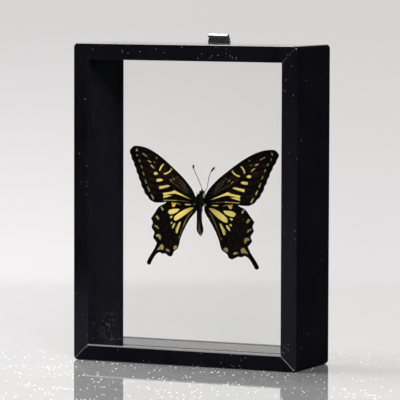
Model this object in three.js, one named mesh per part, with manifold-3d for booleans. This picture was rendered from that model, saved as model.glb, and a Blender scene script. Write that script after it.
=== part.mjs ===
// A swallowtail butterfly specimen between two panes of glass in a deep black frame.
// Millimetres, +Z up. The front faces -Y and +X is to the right of someone who looks
// at the front. The origin is the centre of the frame's bottom face.

import * as THREE from 'three';
import { mergeVertices } from 'three/addons/utils/BufferGeometryUtils.js';
import { TessellateModifier } from 'three/addons/modifiers/TessellateModifier.js';
import Module from 'manifold-3d';

const wasm = await Module();
wasm.setup();

// ---------------------------------------------------------------- driving dimensions

const FRAME_HEIGHT = 175;
const FRAME_WIDTH = 134;
const FRAME_DEPTH = 45;
const RAIL_FACE = 9;           // width of a rail, seen from the front
const OUTER_ROUND = 1.5;       // radius of the frame's outer edges and corners
const LIP_ROUND = 0.8;         // radius of the edges round the window
const ASSEMBLY_GAP = 0.3;      // play between pieces that meet

const GLASS_THICKNESS = 2;
const GROOVE_DEPTH = 3;        // how far a pane reaches into a rail, with its play
const FRONT_LIP = 5.5;         // wood between the front face and the front groove
const BACK_LIP = 4.7;          // wood between the back groove and the back face

const WING_SPAN = 44.4;        // middle of the body to a forewing's tip
const WING_DROOP = 3.6;        // how far the wings bend back over that distance
const DROOP_POWER = 1.6;
const FOREWING_LEAN = 0.006;   // how strongly a forewing's front edge leans back
const HINDWING_CURL = 2.0;     // how far a hindwing's inner edge curls forward
const WING_THICKNESS = 0.5;
const WING_LAYER = 0.55;       // forewings lie this far before, hindwings behind, the middle
const WING_FACET = 5.5;        // longest edge of a wing's triangles

const THORAX_HEIGHT = 89;      // middle of the thorax above the frame's bottom
const THORAX_SIDE = -0.45;     // the body lies a little askew between the wings
const THORAX_BACK = 0.4;
const THORAX_RADII = [2.75, 3.0, 4.3];

const POST_DIAMETER = 2.4;
const POST_DROP = 0.8;         // how far the post lies below the thorax's middle

const HANGER_WIDTH = 13.8;
const HANGER_TOP_WIDTH = 11.4;
const HANGER_RISE = 4.8;       // how far the hanger stands above the frame
const HANGER_REACH = 8.2;      // how far it runs down the top rail's back
const HANGER_PLATE = 0.8;
const HANGER_CURL = 1.3;       // outer radius of its rolled top edge

const SCREW_HEAD_RADIUS = 1.9;
const SCREW_HEAD_HEIGHT = 1.0;
const SCREW_SHANK_RADIUS = 0.8;
const SCREW_LENGTH = 6;
const SCREW_OFFSET = 3.8;      // of each screw from the hanger's middle
const SCREW_DROP = 4.2;        // of the screws below the frame's top

// ---------------------------------------------------------------- derived places

const FRONT = -FRAME_DEPTH / 2;
const BACK = FRAME_DEPTH / 2;
const GROOVE_WIDTH = GLASS_THICKNESS + 2 * ASSEMBLY_GAP;
const FRONT_PANE_MIDDLE = FRONT + FRONT_LIP + GROOVE_WIDTH / 2;
const BACK_PANE_MIDDLE = BACK - BACK_LIP - GROOVE_WIDTH / 2;
const BACK_PANE_FRONT = BACK_PANE_MIDDLE - GLASS_THICKNESS / 2;
const HANGER_FRONT = BACK + ASSEMBLY_GAP;
const HANGER_BACK = HANGER_FRONT + HANGER_PLATE;
const SCREW_HEIGHT = FRAME_HEIGHT - SCREW_DROP;

// ---------------------------------------------------------------- materials

function finish(colour, roughness, metalness = 0) {
  return new THREE.MeshStandardMaterial({ color: colour, roughness, metalness });
}

const lacquer = () => finish(0x121216, 0.28);
const clearGlass = () => finish(0xdfe9e6, 0.05);
const forewingScales = () => finish(0x2b2519, 0.8);
const hindwingScales = () => finish(0x242320, 0.8);
const bodyHair = () => finish(0x1d1e26, 0.9);
const acrylic = () => finish(0xe8eef0, 0.1);
const steel = () => finish(0x8d8f92, 0.35, 1);

// ---------------------------------------------------------------- solids and meshes

function toSolid(geometry) {
  const bare = geometry.clone();
  for (const name of Object.keys(bare.attributes)) {
    if (name !== 'position') bare.deleteAttribute(name);
  }
  const merged = mergeVertices(bare, 1e-4);
  const index = merged.index.array;
  const corners = [];
  for (let i = 0; i < index.length; i += 3) {
    const [a, b, c] = [index[i], index[i + 1], index[i + 2]];
    if (a !== b && b !== c && c !== a) corners.push(a, b, c);
  }
  return new wasm.Manifold(new wasm.Mesh({
    numProp: 3,
    vertProperties: new Float32Array(merged.attributes.position.array),
    triVerts: new Uint32Array(corners),
  }));
}

function toGeometry(solid) {
  const mesh = solid.getMesh();
  const geometry = new THREE.BufferGeometry();
  geometry.setAttribute('position', new THREE.BufferAttribute(mesh.vertProperties, 3));
  geometry.setIndex(new THREE.BufferAttribute(mesh.triVerts, 1));
  return geometry;
}

function joined(geometries) {
  let whole = toSolid(geometries[0]);
  for (const geometry of geometries.slice(1)) whole = whole.add(toSolid(geometry));
  return whole;
}

function reshaped(geometry, move) {
  const position = geometry.attributes.position;
  const point = new THREE.Vector3();
  for (let i = 0; i < position.count; i += 1) {
    point.fromBufferAttribute(position, i);
    move(point);
    position.setXYZ(i, point.x, point.y, point.z);
  }
  return geometry;
}

function mirrored(geometry) {
  const flat = geometry.index ? geometry.toNonIndexed() : geometry.clone();
  const position = flat.attributes.position;
  const turned = new Float32Array(position.count * 3);
  for (let i = 0; i < position.count; i += 3) {
    [i, i + 2, i + 1].forEach((from, place) => {
      const to = 3 * (i + place);
      turned[to] = -position.getX(from);
      turned[to + 1] = position.getY(from);
      turned[to + 2] = position.getZ(from);
    });
  }
  const result = new THREE.BufferGeometry();
  result.setAttribute('position', new THREE.BufferAttribute(turned, 3));
  return result;
}

function part(name, geometry, material) {
  const mesh = new THREE.Mesh(geometry, material);
  mesh.name = name;
  return mesh;
}

// ---------------------------------------------------------------- frame

// Section of a rail: first coordinate front to back, second from the frame's outside
// face towards the window, with a groove for each pane.
function railSection() {
  const floor = RAIL_FACE - GROOVE_DEPTH;
  const section = new THREE.Shape();
  section.moveTo(FRONT + OUTER_ROUND, 0);
  section.lineTo(BACK - OUTER_ROUND, 0);
  section.absarc(BACK - OUTER_ROUND, OUTER_ROUND, OUTER_ROUND, -Math.PI / 2, 0, false);
  section.lineTo(BACK, RAIL_FACE - LIP_ROUND);
  section.absarc(BACK - LIP_ROUND, RAIL_FACE - LIP_ROUND, LIP_ROUND, 0, Math.PI / 2, false);
  for (const middle of [BACK_PANE_MIDDLE, FRONT_PANE_MIDDLE]) {
    section.lineTo(middle + GROOVE_WIDTH / 2, RAIL_FACE);
    section.lineTo(middle + GROOVE_WIDTH / 2, floor);
    section.lineTo(middle - GROOVE_WIDTH / 2, floor);
    section.lineTo(middle - GROOVE_WIDTH / 2, RAIL_FACE);
  }
  section.lineTo(FRONT + LIP_ROUND, RAIL_FACE);
  section.absarc(FRONT + LIP_ROUND, RAIL_FACE - LIP_ROUND, LIP_ROUND, Math.PI / 2, Math.PI, false);
  section.lineTo(FRONT, OUTER_ROUND);
  section.absarc(FRONT + OUTER_ROUND, OUTER_ROUND, OUTER_ROUND, Math.PI, Math.PI * 1.5, false);
  return section;
}

// Front-to-back prism whose corners in the plane of the frame are rounded.
function cornerRounder(length) {
  const height = 3 * RAIL_FACE;
  const half = length / 2;
  const outline = new THREE.Shape();
  outline.moveTo(-half + OUTER_ROUND, 0);
  outline.lineTo(half - OUTER_ROUND, 0);
  outline.absarc(half - OUTER_ROUND, OUTER_ROUND, OUTER_ROUND, -Math.PI / 2, 0, false);
  outline.lineTo(half, height);
  outline.lineTo(-half, height);
  outline.lineTo(-half, OUTER_ROUND);
  outline.absarc(-half + OUTER_ROUND, OUTER_ROUND, OUTER_ROUND, Math.PI, Math.PI * 1.5, false);
  const depth = FRAME_DEPTH + 2;
  const prism = new THREE.ExtrudeGeometry(outline, { depth, bevelEnabled: false, curveSegments: 5 });
  return prism.translate(0, 0, -depth / 2).rotateX(Math.PI / 2);
}

// A rail lies along X with its outside face down. Its ends are mitred: they come in
// by as much as a point stands above the outside face.
function railSolid(length) {
  const rail = new THREE.ExtrudeGeometry(railSection(), {
    depth: length,
    bevelEnabled: false,
    curveSegments: 5,
  });
  const reach = length / 2 - ASSEMBLY_GAP / Math.SQRT2;
  reshaped(rail, (point) => {
    const side = point.z > length / 2 ? 1 : -1;
    point.set(side * (reach - point.y), point.x, point.y);
  });
  return toSolid(rail).intersect(toSolid(cornerRounder(length)));
}

function screwHole(side) {
  const bore = new THREE.CylinderGeometry(
    SCREW_SHANK_RADIUS + ASSEMBLY_GAP,
    SCREW_SHANK_RADIUS + ASSEMBLY_GAP,
    2 * (SCREW_LENGTH + ASSEMBLY_GAP),
    12,
  );
  return bore.translate(side * SCREW_OFFSET, BACK, 0);
}

function frameParts() {
  const across = railSolid(FRAME_WIDTH);
  const upright = railSolid(FRAME_HEIGHT);
  const bottom = part('rail-bottom', toGeometry(across), lacquer());

  let drilled = across;
  for (const side of [-1, 1]) {
    drilled = drilled.subtract(toSolid(screwHole(side).translate(0, 0, SCREW_DROP)));
  }
  const top = part('rail-top', toGeometry(drilled), lacquer());
  top.rotation.y = Math.PI;
  top.position.z = FRAME_HEIGHT;

  const left = part('rail-left', toGeometry(upright), lacquer());
  left.rotation.y = Math.PI / 2;
  left.position.set(-FRAME_WIDTH / 2, 0, FRAME_HEIGHT / 2);

  const right = part('rail-right', toGeometry(upright), lacquer());
  right.rotation.y = -Math.PI / 2;
  right.position.set(FRAME_WIDTH / 2, 0, FRAME_HEIGHT / 2);
  return [bottom, top, left, right];
}

function glassParts() {
  const margin = 2 * (RAIL_FACE - GROOVE_DEPTH + ASSEMBLY_GAP);
  const places = { 'glass-front': FRONT_PANE_MIDDLE, 'glass-back': BACK_PANE_MIDDLE };
  return Object.entries(places).map(([name, middle]) => {
    const pane = new THREE.BoxGeometry(FRAME_WIDTH - margin, GLASS_THICKNESS, FRAME_HEIGHT - margin);
    const mesh = part(name, pane, clearGlass());
    mesh.position.set(0, middle, FRAME_HEIGHT / 2);
    return mesh;
  });
}

// ---------------------------------------------------------------- butterfly

function ellipsoid(centre, radii, across = 14, along = 10) {
  return new THREE.SphereGeometry(1, across, along)
    .rotateX(Math.PI / 2)
    .scale(...radii)
    .translate(...centre);
}

// Straight limb between two points, five-sided, with a radius at each end.
function limb(from, to, startRadius, endRadius) {
  const start = new THREE.Vector3(...from);
  const run = new THREE.Vector3(...to).sub(start);
  const rod = new THREE.CylinderGeometry(endRadius, startRadius, run.length(), 5);
  rod.translate(0, run.length() / 2, 0);
  rod.applyQuaternion(new THREE.Quaternion().setFromUnitVectors(
    new THREE.Vector3(0, 1, 0),
    run.normalize(),
  ));
  return rod.translate(start.x, start.y, start.z);
}

// Round bar along a smooth curve through the given points.
function curvedBar(points, radius, steps, sides = 5) {
  const section = new THREE.Shape();
  for (let i = 0; i < sides; i += 1) {
    const turn = (2 * Math.PI * i) / sides;
    const [x, y] = [radius * Math.cos(turn), radius * Math.sin(turn)];
    if (i === 0) section.moveTo(x, y);
    else section.lineTo(x, y);
  }
  const path = new THREE.CatmullRomCurve3(points.map((point) => new THREE.Vector3(...point)));
  return new THREE.ExtrudeGeometry(section, { steps, extrudePath: path, bevelEnabled: false });
}

// Radius of the abdomen and height above the frame's bottom, from its tip to its root.
const ABDOMEN = [[0, 69.4], [0.75, 69.8], [1.35, 71.2], [1.58, 73.4], [1.42, 76.5],
  [1.32, 80.0], [1.34, 84.0], [1.2, 85.9], [0, 86.6]];
const ABDOMEN_RINGS = 8;
const RING_SWELL = 0.12;

// Ringed abdomen, widest near its blunt end.
function abdomen(grow) {
  const [tip, root] = [ABDOMEN[0][1], ABDOMEN[ABDOMEN.length - 1][1]];
  const steps = 2 * ABDOMEN_RINGS;
  const side = new THREE.SplineCurve(ABDOMEN.map((point) => new THREE.Vector2(...point)));
  const profile = side.getPoints(steps).map((point, i) => {
    if (i === 0 || i === steps) return new THREE.Vector2(0, point.y);
    return new THREE.Vector2(point.x + (i % 2 ? RING_SWELL : 0) + grow, point.y);
  });
  const body = new THREE.LatheGeometry(profile, 12).rotateX(Math.PI / 2);
  return reshaped(body, (point) => {
    const t = (root - point.z) / (root - tip);
    point.x += THORAX_SIDE + 0.65 * t * Math.sin(0.85 * Math.PI * t);
    point.y += THORAX_BACK + 0.1 - 0.6 * Math.sin(Math.PI * t);
  });
}

function thorax(grow) {
  const centre = [THORAX_SIDE, THORAX_BACK, THORAX_HEIGHT];
  return ellipsoid(centre, THORAX_RADII.map((radius) => radius + grow), 14, 12);
}

const HEAD = [0.35, 1.3, 93.5];
const EYE_RADIUS = 0.75;

function head(grow) {
  return ellipsoid(HEAD, [1.45 + grow, 1.3 + grow, 1.25 + grow], 12, 8);
}

function eyesAndPalps() {
  const [x, y, z] = HEAD;
  const pieces = [];
  for (const side of [-1, 1]) {
    const eye = [x + side * 1.0, y + 0.1, z + 0.25];
    pieces.push(ellipsoid(eye, [EYE_RADIUS, EYE_RADIUS, EYE_RADIUS], 8, 6));
    pieces.push(ellipsoid([x + side * 0.4, y + 0.35, z + 1.2], [0.35, 0.4, 0.95], 6, 6));
  }
  return pieces;
}

// The tongue lies coiled under the head.
function tongue() {
  const [x, y, z] = HEAD;
  return new THREE.TorusGeometry(0.62, 0.2, 5, 12)
    .rotateY(Math.PI / 2)
    .translate(x, y + 1.45, z - 0.2);
}

const FEELER_RADIUS = 0.2;
const LEFT_FEELER = [
  [0.1, 1.3, 94.2],
  [0.3, 1.3, 95.3],
  [-1.7, 1.6, 99.3],
  [-3.7, 2.0, 102.9],
  [-5.4, 2.4, 106.0],
  [-5.8, 2.6, 108.1],
];
const RIGHT_FEELER = [
  [1.3, 1.3, 94.0],
  [2.4, 1.3, 95.0],
  [3.3, 1.4, 96.8],
  [3.9, 1.7, 100.6],
  [4.3, 1.9, 102.5],
  [4.9, 2.1, 104.2],
  [5.6, 2.3, 105.4],
  [7.2, 2.6, 107.3],
];

// A feeler is a thin shaft with a swollen club for its last tenth.
function feeler(route) {
  const tip = new THREE.Vector3(...route[route.length - 1]);
  const before = new THREE.Vector3(...route[route.length - 2]);
  const pull = tip.clone().sub(before).normalize();
  const club = ellipsoid([0, 0, 0], [0.4, 0.4, 1.4], 6, 6);
  club.applyQuaternion(new THREE.Quaternion().setFromUnitVectors(new THREE.Vector3(0, 0, 1), pull));
  club.translate(...tip.clone().addScaledVector(pull, -1.0).toArray());
  return [curvedBar(route, FEELER_RADIUS, 10), club];
}

// Joints of the folded legs on one side, from the thorax to the foot, as distances
// from the body's middle, behind the wings, and above the frame's bottom.
const LEGS = [
  [[1.2, 2.3, 91.0], [2.1, 3.8, 91.6], [2.1, 4.5, 88.8], [2.2, 4.7, 86.0]],
  [[1.9, 2.0, 89.0], [3.0, 3.8, 89.2], [2.9, 4.8, 86.7], [3.0, 4.9, 84.0]],
  [[1.2, 2.2, 86.4], [1.9, 3.6, 86.0], [1.4, 4.4, 84.4], [1.4, 4.5, 82.8]],
];
const LEG_RADII = [0.38, 0.3, 0.22, 0.16];

function legs() {
  const pieces = [];
  for (const side of [-1, 1]) {
    for (const joints of LEGS) {
      const placed = joints.map(([x, y, z]) => [THORAX_SIDE + side * x, y, z]);
      for (let i = 0; i < 3; i += 1) {
        pieces.push(limb(placed[i], placed[i + 1], LEG_RADII[i], LEG_RADII[i + 1]));
      }
      for (let i = 1; i < 3; i += 1) {
        const size = LEG_RADII[i] * 1.15;
        pieces.push(ellipsoid(placed[i], [size, size, size], 5, 4));
      }
    }
  }
  return pieces;
}

// The trunk again, larger all round, to keep its neighbours clear of it.
function trunkClearance() {
  return joined([thorax(ASSEMBLY_GAP), abdomen(ASSEMBLY_GAP), head(ASSEMBLY_GAP)]);
}

function bodyPart() {
  const pieces = [thorax(0), abdomen(0), head(0), ...eyesAndPalps(), tongue()];
  pieces.push(...feeler(LEFT_FEELER), ...feeler(RIGHT_FEELER), ...legs());
  return part('body', toGeometry(joined(pieces)), bodyHair());
}

// Wing outlines: distance from the body's middle, height above the frame's bottom.
// Each stretch is a smooth curve, and stretches meet in corners.
const FOREWING = [
  // front edge, from the root to the tip
  [[2.0, 89.6], [2.9, 91.4], [5.0, 95.2], [10.0, 100.7], [15.0, 104.9], [20.0, 108.8],
    [25.0, 112.3], [30.0, 115.1], [35.0, 117.0], [40.0, 117.7], [42.4, 117.3], [44.3, 115.5]],
  // outer edge, slightly wavy
  [[44.3, 115.5], [44.2, 114.0], [42.7, 110.1], [41.8, 108.5], [40.1, 105.0], [38.5, 101.4],
    [37.2, 98.4], [35.6, 94.7], [34.0, 91.7], [31.3, 88.6], [28.0, 86.8]],
  // hind edge, back to the root
  [[28.0, 86.8], [24.3, 86.85], [20.0, 87.4], [12.0, 87.7], [5.0, 87.5], [2.0, 87.6]],
];
const HINDWING = [
  // front edge, under the forewing
  [[2.0, 88.4], [8.0, 90.2], [14.0, 90.6], [19.0, 89.2], [22.0, 86.6], [25.7, 84.7],
    [28.1, 81.6], [30.9, 77.9]],
  // scalloped edge down to the tail
  [[30.9, 77.9], [29.8, 75.5], [30.5, 73.0], [29.1, 70.8], [28.8, 69.7], [29.5, 67.3],
    [27.8, 65.1], [27.3, 64.0], [29.0, 60.4], [32.1, 56.0], [33.7, 53.4], [32.9, 52.2],
    [31.6, 52.6], [29.2, 56.4], [27.4, 58.5], [25.4, 59.3]],
  // scalloped edge from the tail to the inner corner
  [[25.4, 59.3], [23.6, 58.5], [21.9, 58.8], [19.9, 57.8], [18.6, 57.3], [16.8, 58.1],
    [16.0, 60.0], [13.5, 61.8], [12.3, 64.2]],
  // inner edge beside the abdomen
  [[12.3, 64.2], [11.4, 67.8], [9.3, 72.6], [6.0, 78.3], [4.2, 80.6], [2.4, 83.2], [2.0, 85.6]],
];

const FOREWING_HIND_EDGE = 88;
const HINDWING_SHOULDER = 86;

function droop(distance) {
  return WING_DROOP * (distance / WING_SPAN) ** DROOP_POWER;
}

function forewingDepth(distance, height) {
  const above = Math.max(0, height - FOREWING_HIND_EDGE - 0.35 * distance);
  return droop(distance) - WING_LAYER + FOREWING_LEAN * above ** 2;
}

// The inner edge beside the abdomen curls forward; the root and the outer half don't.
function hindwingDepth(distance, height) {
  const below = THREE.MathUtils.smoothstep(HINDWING_SHOULDER - height, 0, 8);
  const inside = THREE.MathUtils.smoothstep(26 - distance, 0, 16);
  return droop(distance) + WING_LAYER - HINDWING_CURL * below * inside;
}

function wingShape(stretches) {
  const outline = new THREE.Shape();
  outline.moveTo(...stretches[0][0]);
  for (const stretch of stretches) {
    outline.splineThru(stretch.slice(1).map((point) => new THREE.Vector2(...point)));
  }
  return outline;
}

// A wing is a thin sheet, bent front to back by the given depth.
function wing(stretches, depthAt) {
  const sheet = new THREE.ExtrudeGeometry(wingShape(stretches), {
    depth: WING_THICKNESS,
    bevelEnabled: false,
    curveSegments: 2,
  });
  sheet.translate(0, 0, -WING_THICKNESS / 2).rotateX(Math.PI / 2);
  const fine = new TessellateModifier(WING_FACET, 12).modify(sheet);
  return reshaped(fine, (point) => {
    point.y += depthAt(point.x, point.z);
  });
}

function wingParts() {
  const clearance = trunkClearance();
  const kinds = {
    forewing: [wing(FOREWING, forewingDepth), forewingScales],
    hindwing: [wing(HINDWING, hindwingDepth), hindwingScales],
  };
  const parts = [];
  for (const [name, [right, scales]] of Object.entries(kinds)) {
    const sides = { left: mirrored(right), right };
    for (const [side, sheet] of Object.entries(sides)) {
      const cut = toSolid(sheet).subtract(clearance);
      parts.push(part(`${name}-${side}`, toGeometry(cut), scales()));
    }
  }
  return parts;
}

// Clear rod from the back of the thorax to the back pane.
function postPart() {
  const end = BACK_PANE_FRONT - ASSEMBLY_GAP;
  const length = end - THORAX_BACK;
  const rod = new THREE.CylinderGeometry(POST_DIAMETER / 2, POST_DIAMETER / 2, length, 24);
  rod.translate(THORAX_SIDE, end - length / 2, THORAX_HEIGHT - POST_DROP);
  return part('post', toGeometry(toSolid(rod).subtract(trunkClearance())), acrylic());
}

// ---------------------------------------------------------------- hanger

// Side view of the hanger: a plate up the rail's back whose top edge rolls forward.
function hangerSection() {
  const top = FRAME_HEIGHT + HANGER_RISE;
  const centre = [HANGER_BACK - HANGER_CURL, top - HANGER_CURL];
  const inner = HANGER_CURL - HANGER_PLATE;
  const end = Math.PI * 1.15;
  const section = new THREE.Shape();
  section.moveTo(HANGER_FRONT, FRAME_HEIGHT - HANGER_REACH);
  section.lineTo(HANGER_BACK, FRAME_HEIGHT - HANGER_REACH);
  section.lineTo(HANGER_BACK, FRAME_HEIGHT);
  section.lineTo(HANGER_BACK, centre[1]);
  section.absarc(...centre, HANGER_CURL, 0, end, false);
  section.absarc(...centre, inner, end, 0, true);
  section.lineTo(HANGER_FRONT, FRAME_HEIGHT);
  return section;
}

function hangerPart() {
  const plate = new THREE.ExtrudeGeometry(hangerSection(), {
    depth: HANGER_WIDTH,
    bevelEnabled: false,
    curveSegments: 8,
  });
  const narrowing = (HANGER_WIDTH - HANGER_TOP_WIDTH) / 2 / HANGER_RISE;
  reshaped(plate, (point) => {
    const side = point.z > HANGER_WIDTH / 2 ? 1 : -1;
    const above = Math.max(0, point.y - FRAME_HEIGHT);
    point.set(side * (HANGER_WIDTH / 2 - narrowing * above), point.x, point.y);
  });
  let solid = toSolid(plate);
  for (const side of [-1, 1]) {
    solid = solid.subtract(toSolid(screwHole(side).translate(0, 0, SCREW_HEIGHT)));
  }
  return part('hanger', toGeometry(solid), steel());
}

// Round-headed screw along +Y: its head's underside is at Y = 0.
function screwGeometry() {
  const profile = [[0, -SCREW_LENGTH], [SCREW_SHANK_RADIUS * 0.3, -SCREW_LENGTH + 0.1],
    [SCREW_SHANK_RADIUS, -SCREW_LENGTH + 1.6], [SCREW_SHANK_RADIUS, 0], [SCREW_HEAD_RADIUS, 0],
    [SCREW_HEAD_RADIUS, 0.25], [SCREW_HEAD_RADIUS * 0.86, 0.62], [SCREW_HEAD_RADIUS * 0.5, 0.92],
    [0, SCREW_HEAD_HEIGHT]];
  const screw = new THREE.LatheGeometry(profile.map((point) => new THREE.Vector2(...point)), 12);
  const slot = new THREE.BoxGeometry(2 * SCREW_HEAD_RADIUS + 1, 0.8, 0.5);
  slot.translate(0, SCREW_HEAD_HEIGHT, 0);
  return toGeometry(toSolid(screw).subtract(toSolid(slot)));
}

function screwParts() {
  return Object.entries({ left: -1, right: 1 }).map(([name, side]) => {
    const screw = part(`hanger-screw-${name}`, screwGeometry(), steel());
    screw.position.set(side * SCREW_OFFSET, HANGER_BACK + ASSEMBLY_GAP, SCREW_HEIGHT);
    return screw;
  });
}

// ---------------------------------------------------------------- the specimen

const specimen = new THREE.Group();
specimen.name = 'framed-butterfly-specimen';
specimen.add(...frameParts(), ...glassParts());
specimen.add(bodyPart(), ...wingParts(), postPart());
specimen.add(hangerPart(), ...screwParts());

export default specimen;
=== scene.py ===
"""A swallowtail butterfly specimen between two panes of glass in a deep black frame.

+Z is up, the front faces -Y and +X is to the right of someone who looks at the front.
Pieces are modelled in millimetres and add_piece brings them to metres; the stage, the
lights and the camera are placed in metres.
"""

import math
import random

import bmesh
import bpy
import numpy as np
from mathutils import Matrix, Vector


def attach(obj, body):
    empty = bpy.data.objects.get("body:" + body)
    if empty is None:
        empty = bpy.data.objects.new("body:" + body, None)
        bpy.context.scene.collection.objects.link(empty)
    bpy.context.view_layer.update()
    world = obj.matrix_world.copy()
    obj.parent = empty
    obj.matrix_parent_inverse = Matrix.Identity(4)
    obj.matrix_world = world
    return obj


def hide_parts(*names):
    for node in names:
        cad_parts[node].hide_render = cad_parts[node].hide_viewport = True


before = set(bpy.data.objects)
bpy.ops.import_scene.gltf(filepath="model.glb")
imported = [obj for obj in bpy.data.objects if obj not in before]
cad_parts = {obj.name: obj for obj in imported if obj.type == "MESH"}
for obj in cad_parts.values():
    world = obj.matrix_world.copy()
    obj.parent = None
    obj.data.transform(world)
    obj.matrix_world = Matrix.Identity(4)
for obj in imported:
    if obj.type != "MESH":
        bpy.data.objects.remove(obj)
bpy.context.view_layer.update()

# ---- sizes in millimetres

MM = 0.001

FRAME_HEIGHT = 175
FRAME_WIDTH = 134
FRAME_DEPTH = 45
FRONT = -FRAME_DEPTH / 2
BACK = FRAME_DEPTH / 2
RAIL_FACE = 9
OUTER_ROUND = 0.8
CORNER_ROUND = 2.4
LIP_ROUND = 1.1
GROOVE_ROUND = 0.25
SEAM_BEVEL = 0.32              # rounding of a rail's front edge along its mitre
SEAM_GAP = 0.04
CORNER_STEPS = 7               # flats across each kind of rounding
EDGE_STEPS = 5
SEAM_STEPS = 3
FINE_STEPS = 2

GLASS_THICKNESS = 2
GROOVE_WIDTH = 2.6
GROOVE_DEPTH = 3
FRONT_PANE_MIDDLE = -15.7
BACK_PANE_MIDDLE = 16.5
PANE_WIDTH = 121.4
PANE_HEIGHT = 162.4
PANE_ARRIS = 0.3

WING_SPAN = 44.4
WING_STRETCH = 1.016
WING_DROOP = 3.6
DROOP_POWER = 1.6
FOREWING_LEAN = 0.006
HINDWING_CURL = 2.0
WING_LAYER = 0.55
FOREWING_HIND_EDGE = 88
HINDWING_SHOULDER = 86
WING_THICKNESS = 0.2
WING_STEP = 0.3                # spacing of the wing mesh
VEIN_RISE = 0.07
VEIN_FLANK = (0.05, 0.35)      # distances from a vein between which its ridge falls away
MEMBRANE_SAG = 0.12
SAG_REACH = 1.6                # distance from a vein at which the membrane sags fully

MARKING_SLIDE = 0.3            # both wings' markings sit this far to the right

THORAX = (-0.54, 0.4, 88.7)
THORAX_RADII = (2.25, 2.7, 4.1)
HEAD = (0.3, 1.3, 93.1)

SIDES = {"left": -1, "right": 1}

# ---- node helpers


def add_node(tree, kind, inputs=(), **options):
    """Adds a node, sets its options, and fills its inputs with values or links."""
    made = tree.nodes.new(kind)
    for option, value in options.items():
        setattr(made, option, value)
    for socket, value in dict(inputs).items():
        if isinstance(value, bpy.types.NodeSocket):
            tree.links.new(value, made.inputs[socket])
        else:
            made.inputs[socket].default_value = value
    return made


def maths(tree, operation, first, second=0.0):
    return add_node(tree, "ShaderNodeMath", {0: first, 1: second}, operation=operation).outputs[0]


def times(tree, first, second):
    return maths(tree, "MULTIPLY", first, second)


def larger(tree, first, second):
    return maths(tree, "MAXIMUM", first, second)


def absolute(tree, value):
    return maths(tree, "ABSOLUTE", value)


def eased(tree, value, low, high):
    """0 below low, 1 above high, and smooth between them."""
    inputs = {"Value": value, "From Min": low, "From Max": high}
    made = add_node(tree, "ShaderNodeMapRange", inputs, interpolation_type="SMOOTHSTEP")
    return made.outputs["Result"]


def mixed(tree, share, first, second):
    """Colour that goes from first to second as share goes from 0 to 1."""
    inputs = {0: share, 6: first, 7: second}
    return add_node(tree, "ShaderNodeMix", inputs, data_type="RGBA").outputs[2]


def between(tree, share, low, high):
    """Number that goes from low to high as share goes from 0 to 1."""
    inputs = {"Value": share, "To Min": low, "To Max": high}
    return add_node(tree, "ShaderNodeMapRange", inputs).outputs["Result"]


def own_place(tree, **changes):
    """The piece's own coordinates, scaled or turned."""
    place = add_node(tree, "ShaderNodeTexCoord").outputs["Object"]
    return add_node(tree, "ShaderNodeMapping", {"Vector": place, **changes}).outputs[0]


def noise(tree, scale, detail=3.0, stretch=(1, 1, 1)):
    """Noise on the piece's own coordinates. Scale is in waves per metre."""
    inputs = {"Vector": own_place(tree, Scale=stretch), "Scale": scale, "Detail": detail}
    return add_node(tree, "ShaderNodeTexNoise", inputs).outputs["Fac"]


def attribute(tree, name):
    return add_node(tree, "ShaderNodeAttribute", attribute_name=name).outputs["Fac"]


def axis_value(tree, axis):
    return add_node(tree, "ShaderNodeSeparateXYZ", {0: own_place(tree)}).outputs[axis]


def bumped(tree, height, strength, distance, normal=None):
    inputs = {"Height": height, "Strength": strength, "Distance": distance}
    if normal is not None:
        inputs["Normal"] = normal
    return add_node(tree, "ShaderNodeBump", inputs).outputs["Normal"]


def grey(value):
    return (value, value, value, 1)


def new_group(name, inputs, outputs):
    """Empty node group with number inputs and the given outputs."""
    tree = bpy.data.node_groups.new(name, "ShaderNodeTree")
    for label, value in inputs.items():
        socket = tree.interface.new_socket(label, in_out="INPUT", socket_type="NodeSocketFloat")
        socket.default_value = value
    for label in outputs:
        tree.interface.new_socket(label, in_out="OUTPUT", socket_type="NodeSocketFloat")
    entry = tree.nodes.new("NodeGroupInput")
    leaving = tree.nodes.new("NodeGroupOutput")
    return tree, entry, leaving


def use_group(tree, group, **values):
    """Places a node group with its own values and gives back its first output."""
    inputs = {label.replace("_", " ").capitalize(): value for label, value in values.items()}
    return add_node(tree, "ShaderNodeGroup", inputs, node_tree=group).outputs[0]


# ---- shared finish effects


def make_dust():
    """Small pale specks, thicker in some places than in others."""
    inputs = {"Spacing": 0.003, "Size": 0.1, "Cover": 0.3, "Depth share": 1.0}
    tree, entry, leaving = new_group("dust", inputs, ["Mask"])
    shares = {0: 1.0, 1: entry.outputs["Depth share"], 2: 1.0}
    place = own_place(tree, Scale=add_node(tree, "ShaderNodeCombineXYZ", shares).outputs[0])
    scale = maths(tree, "DIVIDE", 1.0, entry.outputs["Spacing"])
    cells = add_node(tree, "ShaderNodeTexVoronoi", {"Vector": place, "Scale": scale})
    inner = times(tree, entry.outputs["Size"], 0.55)
    speck = eased(tree, cells.outputs["Distance"], entry.outputs["Size"], inner)
    clouds = noise(tree, 45.0, detail=2.0)
    chance = add_node(tree, "ShaderNodeSeparateColor", {0: cells.outputs["Color"]}).outputs[0]
    share = times(tree, entry.outputs["Cover"], eased(tree, clouds, 0.35, 0.75))
    kept = maths(tree, "LESS_THAN", chance, share)
    tree.links.new(times(tree, speck, kept), leaving.inputs["Mask"])
    return tree


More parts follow.
